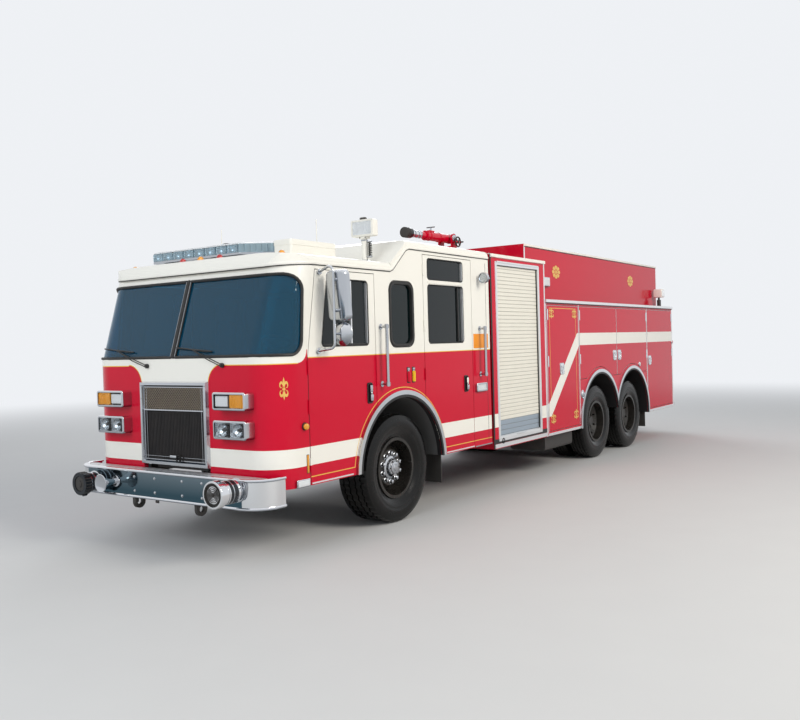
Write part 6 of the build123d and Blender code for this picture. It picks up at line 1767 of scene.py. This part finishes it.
def pump_house_trim():
    """Shutter frame, ribbed lower curtain, step, cap moulding and corner trims."""
    shape = Shape()
    outline = rectangle(SHUTTER_FRONT, SHUTTER_LOW, SHUTTER_REAR, SHUTTER_HIGH)
    shape.border(on_side, grown(outline, 0.014), 0.042, -0.002, 0.008, 0, 0.003)
    shape.border(on_side, grown(outline, -0.004), 0.010, -0.030, 0.006, 0, 0.001)
    shape.border(on_side, grown(outline, -0.012), 0.007, -0.022, -0.006, 1, 0.001)
    front, rear, cap = PUMP_FRONT, PUMP_REAR, PUMP_TOP - 0.018
    lintel = SHUTTER_HIGH + 0.030
    shape.mouldings(on_side, (
        (SHUTTER_FRONT - 0.004, lintel, SHUTTER_REAR + 0.004, lintel, 0.026, 0.0, 0.016, 0, 0.004),
        (SHUTTER_FRONT + 0.016, 0.636, SHUTTER_REAR - 0.016, 0.636, 0.030, -0.016, -0.002, 0, 0.006),
        (4.270, 0.636, 4.510, 0.636, 0.012, -0.004, 0.012, 0, 0.004),
        (front, 0.536, rear, 0.536, 0.050, 0.0, 0.005, 0, 0.002),
        (front, 0.590, rear, 0.590, 0.054, 0.0, 0.003, 1, 0.001),
        (front + 0.02, 0.572, rear - 0.02, 0.572, 0.005, 0.002, 0.006, 1, 0.002),
        (front + 0.02, 0.590, rear - 0.02, 0.590, 0.005, 0.002, 0.006, 1, 0.002),
        (front + 0.02, 0.608, rear - 0.02, 0.608, 0.005, 0.002, 0.006, 1, 0.002),
        (front - 0.003, PUMP_LOW, front - 0.003, PUMP_TOP, 0.028, 0.0, 0.005, 2, 0.002),
        (rear + 0.006, PUMP_LOW, rear + 0.006, PUMP_TOP, 0.024, 0.0, 0.005, 0, 0.002),
        (front - 0.012, cap, rear + 0.012, cap, 0.046, -0.004, 0.022, 3, 0.005)))
    shape.lathe(on_side(3.905, 0.588), OUTWARD,
                ((-0.002, 0.034), (0.010, 0.034), (0.014, 0.030), (0.014, 0.022), (0.004, 0.020)), 1, 28)
    shape.box(on_side(rear + 0.030, 0.715), on_side(rear + 0.052, 0.935, 0.006), 0, 0.002)
    pair("pump_house_trim", shape, "root", ["aluminium", "plastic", "rubber", "white"],
         slot="white_aluminium")


def pump_house_top():
    """Edge strips, tread bars and the flange, bolts and rings under the gun."""
    shape = Shape()
    for station in (PUMP_FRONT + 0.004, PUMP_REAR - 0.004):
        shape.box(at(-HALF, station - 0.010, PUMP_TOP - 0.004), at(HALF, station + 0.010, PUMP_TOP + 0.004),
                  0, 0.002)
    for row in range(6):
        for column in range(11):
            x, station = (column - 5) * 0.205, PUMP_FRONT + 0.12 + row * 0.235
            if abs(x - GUN_X) >= 0.17 or abs(station - GUN_STATION) >= 0.17:
                shape.box(at(x - 0.060, station - 0.004, PUMP_TOP - 0.001),
                          at(x + 0.060, station + 0.004, PUMP_TOP + 0.002), 1, 0.001)
    shape.lathe(at(GUN_X, GUN_STATION, PUMP_TOP + 0.024), UPWARD,
                ((-0.004, 0.094), (0.0, 0.094), (0.002, 0.060)), 2, 40)
    shape.bolts(above(GUN_X, GUN_STATION, PUMP_TOP + 0.026), 8, 0.078, UPWARD,
                ((-0.004, 0.011), (0.007, 0.011), (0.009, 0.007)), 2, 6)
    for z in (2.880, 2.945):
        shape.band(at(GUN_X, GUN_STATION, z), UPWARD, 0.008, 0.064, 2, 32, 0.006, 0.007)
    shape.piece("pump_house_top", "root", ["aluminium", "tread", "satin_chrome"], slot="white_aluminium")


def deck_gun():
    """Flange, pivot caps and hand wheel of the gun's base, and the rings, sight and lip of its barrel."""
    base = Shape()
    base.lathe(at(GUN_X, GUN_STATION, 2.962), UPWARD,
               ((0.0, 0.071), (0.004, 0.084), (0.022, 0.084), (0.030, 0.072)), 1, 36)
    base.bolts(above(GUN_X, GUN_STATION, 2.984), 6, 0.076, UPWARD,
               ((-0.002, 0.007), (0.006, 0.007), (0.008, 0.004)), 2, 6)
    for side in (-1, 1):
        cheek = beside(GUN_X + side * 0.1045, GUN_STATION, GUN_PIVOT)
        base.lathe(cheek(0, 0), (side, 0, 0),
                   ((0.0, 0.046), (0.006, 0.044), (0.010, 0.028), (0.018, 0.026), (0.020, 0.016)), 2, 28)
        for angle in (0.9, 2.25, 4.0, 5.4):
            base.lathe(cheek(0.050 * cos(angle), 0.050 * sin(angle)), (side, 0, 0),
                       ((0.0, 0.007), (0.005, 0.007), (0.006, 0.004)), 2, 6)
    wheel = beside(GUN_X + 0.160, GUN_STATION, GUN_PIVOT - 0.050)
    base.wire(wheel, [(a, b, 0) for a, b in around(32, 0.060)], 0.0102, 0, 10, True)
    for a, b in around(4, 0.058, pi / 4):
        base.wire(wheel, ((0, 0, 0), (a, b, 0)), 0.0072, 0, 8)
    base.lathe(wheel(0, 0), OUTWARD, ((-0.014, 0.018), (0.012, 0.018), (0.016, 0.010)), 0, 20)
    base.cylinder(wheel(0.058, 0, 0.004), wheel(0.058, 0, 0.046), 0.010, 0, 14, 0.003)
    base.piece("gun_base_detail", "gun_slew_body", ["black", "red", "satin_chrome"], slot="gun_red")
    barrel = Shape()
    for station, radius, mark in BARREL_RINGS:
        barrel.band(at(GUN_X, station, GUN_PIVOT), REARWARD, 0.0065, radius, mark, 36, 0.004, 0.008)
    barrel.lathe(at(GUN_X, 3.371, GUN_PIVOT), REARWARD,
                 ((0.0, 0.0510), (-0.003, 0.0535), (-0.003, 0.0595), (0.001, 0.0625)), 0, 40)
    sight = above(GUN_X, 3.960, GUN_PIVOT)
    barrel.box(sight(-0.020, -0.060, 0.052), sight(0.020, 0.060, 0.074), 2, 0.006)
    barrel.cylinder(sight(0, 0, 0.070), sight(0, 0, 0.112), 0.012, 1, 16, 0.003)
    barrel.box(sight(-0.060, -0.010, 0.108), sight(0.060, 0.010, 0.120), 0, 0.005)
    barrel.piece("gun_barrel_detail", "gun_barrel_body", ["black", "chrome", "red"], slot="gun_black")


# Body

LEDGE, MODULE_TOP, LOCKER_TOP = 2.300, 3.060, 2.240
LOCKERS = (
    # body name, front edge, rear edge, low z, handle station, handle z
    ("locker_front", 5.197, 6.215, 0.560, 5.640, 1.380),
    ("locker_over_wheel_front", 6.250, 7.699, 1.200, 7.600, 1.510),
    ("locker_over_wheel_rear", 7.695, 9.072, 1.200, 7.800, 1.510),
    ("locker_rear", 9.108, 10.430, 0.560, 9.220, 1.380),
)


def round_marker(shape, station, z, radius, mark):
    """Small round lamp in a chrome ring; mark is the lens."""
    shape.lathe(on_side(station, z), OUTWARD,
                ((-0.002, radius + 0.008), (0.006, radius + 0.008), (0.012, radius + 0.004), (0.013, radius)),
                3, 28)
    shape.lathe(on_side(station, z, 0.008), OUTWARD,
                ((0, radius), (0.008, radius - 0.002), (0.012, radius - 0.012), (0.013, 0.003)), mark, 28)


def body_trim():
    """Drip rail, corner and pillar trims, sill, module moulding, lamps and filler on each side."""
    shape = Shape()
    front, rear = PUMP_REAR + 0.030, BODY_REAR
    shape.mouldings(on_side, (
        (front, LEDGE - 0.010, rear, LEDGE - 0.010, 0.046, -0.004, 0.020, 0, 0.005),
        (front, LEDGE - 0.040, rear, LEDGE - 0.040, 0.010, 0.0, 0.010, 1, 0.002),
        (5.170, 0.520, 5.170, 2.262, 0.012, 0.0, 0.004, 0, 0.001),
        (6.2325, 0.545, 6.2325, 2.262, 0.012, 0.0, 0.004, 0, 0.001),
        (9.090, 0.520, 9.090, 2.262, 0.012, 0.0, 0.004, 0, 0.001),
        (rear - 0.018, 0.520, rear - 0.018, 2.262, 0.030, 0.0, 0.005, 0, 0.002),
        (front, 0.524, 6.215, 0.524, 0.036, 0.0, 0.006, 0, 0.002),
        (9.135, 0.524, rear, 0.524, 0.036, 0.0, 0.006, 0, 0.002)))
    front = PUMP_REAR + 0.004
    shape.mouldings(on_module, (
        (front, MODULE_TOP - 0.014, rear, MODULE_TOP - 0.014, 0.034, -0.002, 0.012, 2, 0.004),
        (front, MODULE_TOP - 0.036, rear, MODULE_TOP - 0.036, 0.007, 0.0, 0.005, 1, 0.001),
        (front + 0.012, LEDGE + 0.02, front + 0.012, MODULE_TOP - 0.03, 0.030, 0.0, 0.004, 0, 0.001)))
    shape.box(on_module(5.530, 2.512, -0.002), on_module(5.850, 2.645, 0.040), 3, 0.012, 3)
    fluted_lens(shape, on_module, 5.546, 5.834, 2.528, 2.629, 0.034, 0.044, 4, 14)
    shape.boxes(at, (
        ((1.040, 10.240, LEDGE + 0.010), (1.090, 10.330, LEDGE + 0.140), 5, 0.008, 2),
        ((0.985, 10.210, LEDGE + 0.180), (1.145, 10.360, LEDGE + 0.330), 2, 0.016, 3),
        ((1.140, 10.224, LEDGE + 0.194), (1.149, 10.346, LEDGE + 0.316), 4, 0.006, 2)))
    shape.cylinder(at(1.065, 10.285, LEDGE + 0.130), at(1.065, 10.285, LEDGE + 0.190), 0.018, 5, 16, 0.004)
    round_marker(shape, 10.452, 1.670, 0.024, 6)
    shape.lathe(on_side(6.315, 0.990), OUTWARD,
                ((-0.002, 0.058), (0.005, 0.058), (0.008, 0.050), (0.009, 0.046), (0.012, 0.040),
                 (0.016, 0.036), (0.017, 0.004)), 3, 36)
    shape.box(on_side(6.290, 0.984, 0.014), on_side(6.340, 0.996, 0.026), 3, 0.003)
    pair("body_trim", shape, "root",
         ["aluminium", "plastic", "white", "chrome", "white_lens", "black", "red_lens"],
         slot="white_aluminium")


def locker_trim():
    """Handle ring, lock and edge seals of each locker door, and the lamp on one."""
    for name, front, rear, low, handle, z in LOCKERS:
        door = Shape()
        loop = rounded_loop(rectangle(handle - 0.060, z - 0.075, handle + 0.060, z + 0.075), 0.024, 4)
        door.border(on_side, loop, 0.012, 0.0, 0.0085, 1, 0.003)
        door.lathe(on_side(handle, z - 0.056, 0.006), OUTWARD,
                   ((0, 0.011), (0.004, 0.011), (0.006, 0.008)), 0, 18)
        if name == "locker_over_wheel_rear":
            round_marker(door, 8.699, 1.330, 0.030, 4)
        edge, high = low + 0.007, LOCKER_TOP - 0.007
        door.mouldings(on_side, (
            (front + 0.008, edge, front + 0.008, high, 0.003, -0.006, 0.0012, 2, 0.0),
            (rear - 0.008, edge, rear - 0.008, high, 0.003, -0.006, 0.0012, 2, 0.0),
            (front + 0.007, high - 0.001, rear - 0.007, high - 0.001, 0.003, -0.006, 0.0012, 2, 0.0)))
        pair(f"{name}_trim", door, name, ["chrome", "satin_chrome", "aluminium", "chrome", "white_lens"],
             slot="chrome")


def rear_trim():
    """Rear wall: shutter frame, tail lamp clusters, steps, rails and light mouldings."""
    shape = Shape()
    half, low, high = 0.480, 0.760, 2.150
    frame = rectangle(-half - 0.016, low - 0.016, half + 0.016, high + 0.016)
    shape.border(on_rear, frame, 0.044, -0.002, 0.008, 0, 0.003)
    shape.mouldings(on_rear, (
        (-half + 0.004, low + 0.022, half - 0.004, low + 0.022, 0.036, -0.014, 0.002, 0, 0.005),
        (-0.12, low + 0.022, 0.12, low + 0.022, 0.012, 0.0, 0.014, 0, 0.003),
        (-1.214, 0.520, -1.214, 2.262, 0.028, 0.0, 0.005, 0, 0.002),
        (1.214, 0.520, 1.214, 2.262, 0.028, 0.0, 0.005, 0, 0.002),
        (-HALF, LEDGE - 0.010, HALF, LEDGE - 0.010, 0.040, -0.002, 0.012, 0, 0.004),
        (-MODULE_HALF, 2.744, MODULE_HALF, 2.744, 0.030, -0.002, 0.008, 0, 0.003)))
    for x in (-1.100, 1.100):
        shape.lathe(on_rear(x, 2.130), REARWARD, ((-0.002, 0.078), (0.020, 0.078), (0.030, 0.068)), 2, 32)
        shape.lathe(on_rear(x, 2.130, 0.024), REARWARD,
                    ((0, 0.066), (0.010, 0.064), (0.024, 0.046), (0.030, 0.020), (0.031, 0.004)), 4, 32)
    rail = ((1.000, 0.0), (1.000, 0.055), (1.025, 0.072), (1.900, 0.072), (1.925, 0.055), (1.925, 0.0))
    shape.wire(on_rear, [(0.800, z, out) for z, out in rail], 0.016, 6, 12)
    for z in (1.000, 1.925):
        shape.lathe(on_rear(0.800, z), REARWARD, ((0, 0.030), (0.006, 0.028), (0.008, 0.018)), 2, 24)
    for x in (-0.240, 0.0, 0.240):
        shape.box(on_rear(x - 0.048, 2.215, -0.002), on_rear(x + 0.048, 2.253, 0.020), 4, 0.006)
    for k in range(14):
        x = -1.120 + 0.160 * k
        shape.box(on_rear(x, 0.528, 0.360), on_rear(x + 0.100, 0.546, 0.3695), 0, 0.003)
    shape.piece("rear_trim", "root", ["aluminium", "plastic", "chrome", "white_lens", "red_lens", "amber",
                                      "satin_chrome"], slot="white_aluminium")


make_camera()
make_floor()
make_world()
make_lamps()
finish_nodes()
wheels()
grille()
front_lamps()
windshield_trim()
wiper_arms()
seats()
mirror_faces()
cab_doors()
cab_side_fittings()
roof_moulding()
gilt_ornaments()
bumper_trim()
siren_face()
front_connections()
treadplate()
lightbar()
roof_fittings()
mast_lamp()
mast_coil()
pump_house_trim()
pump_house_top()
deck_gun()
body_trim()
locker_trim()
rear_trim()
bpy.context.scene.view_settings.view_transform = "Standard"
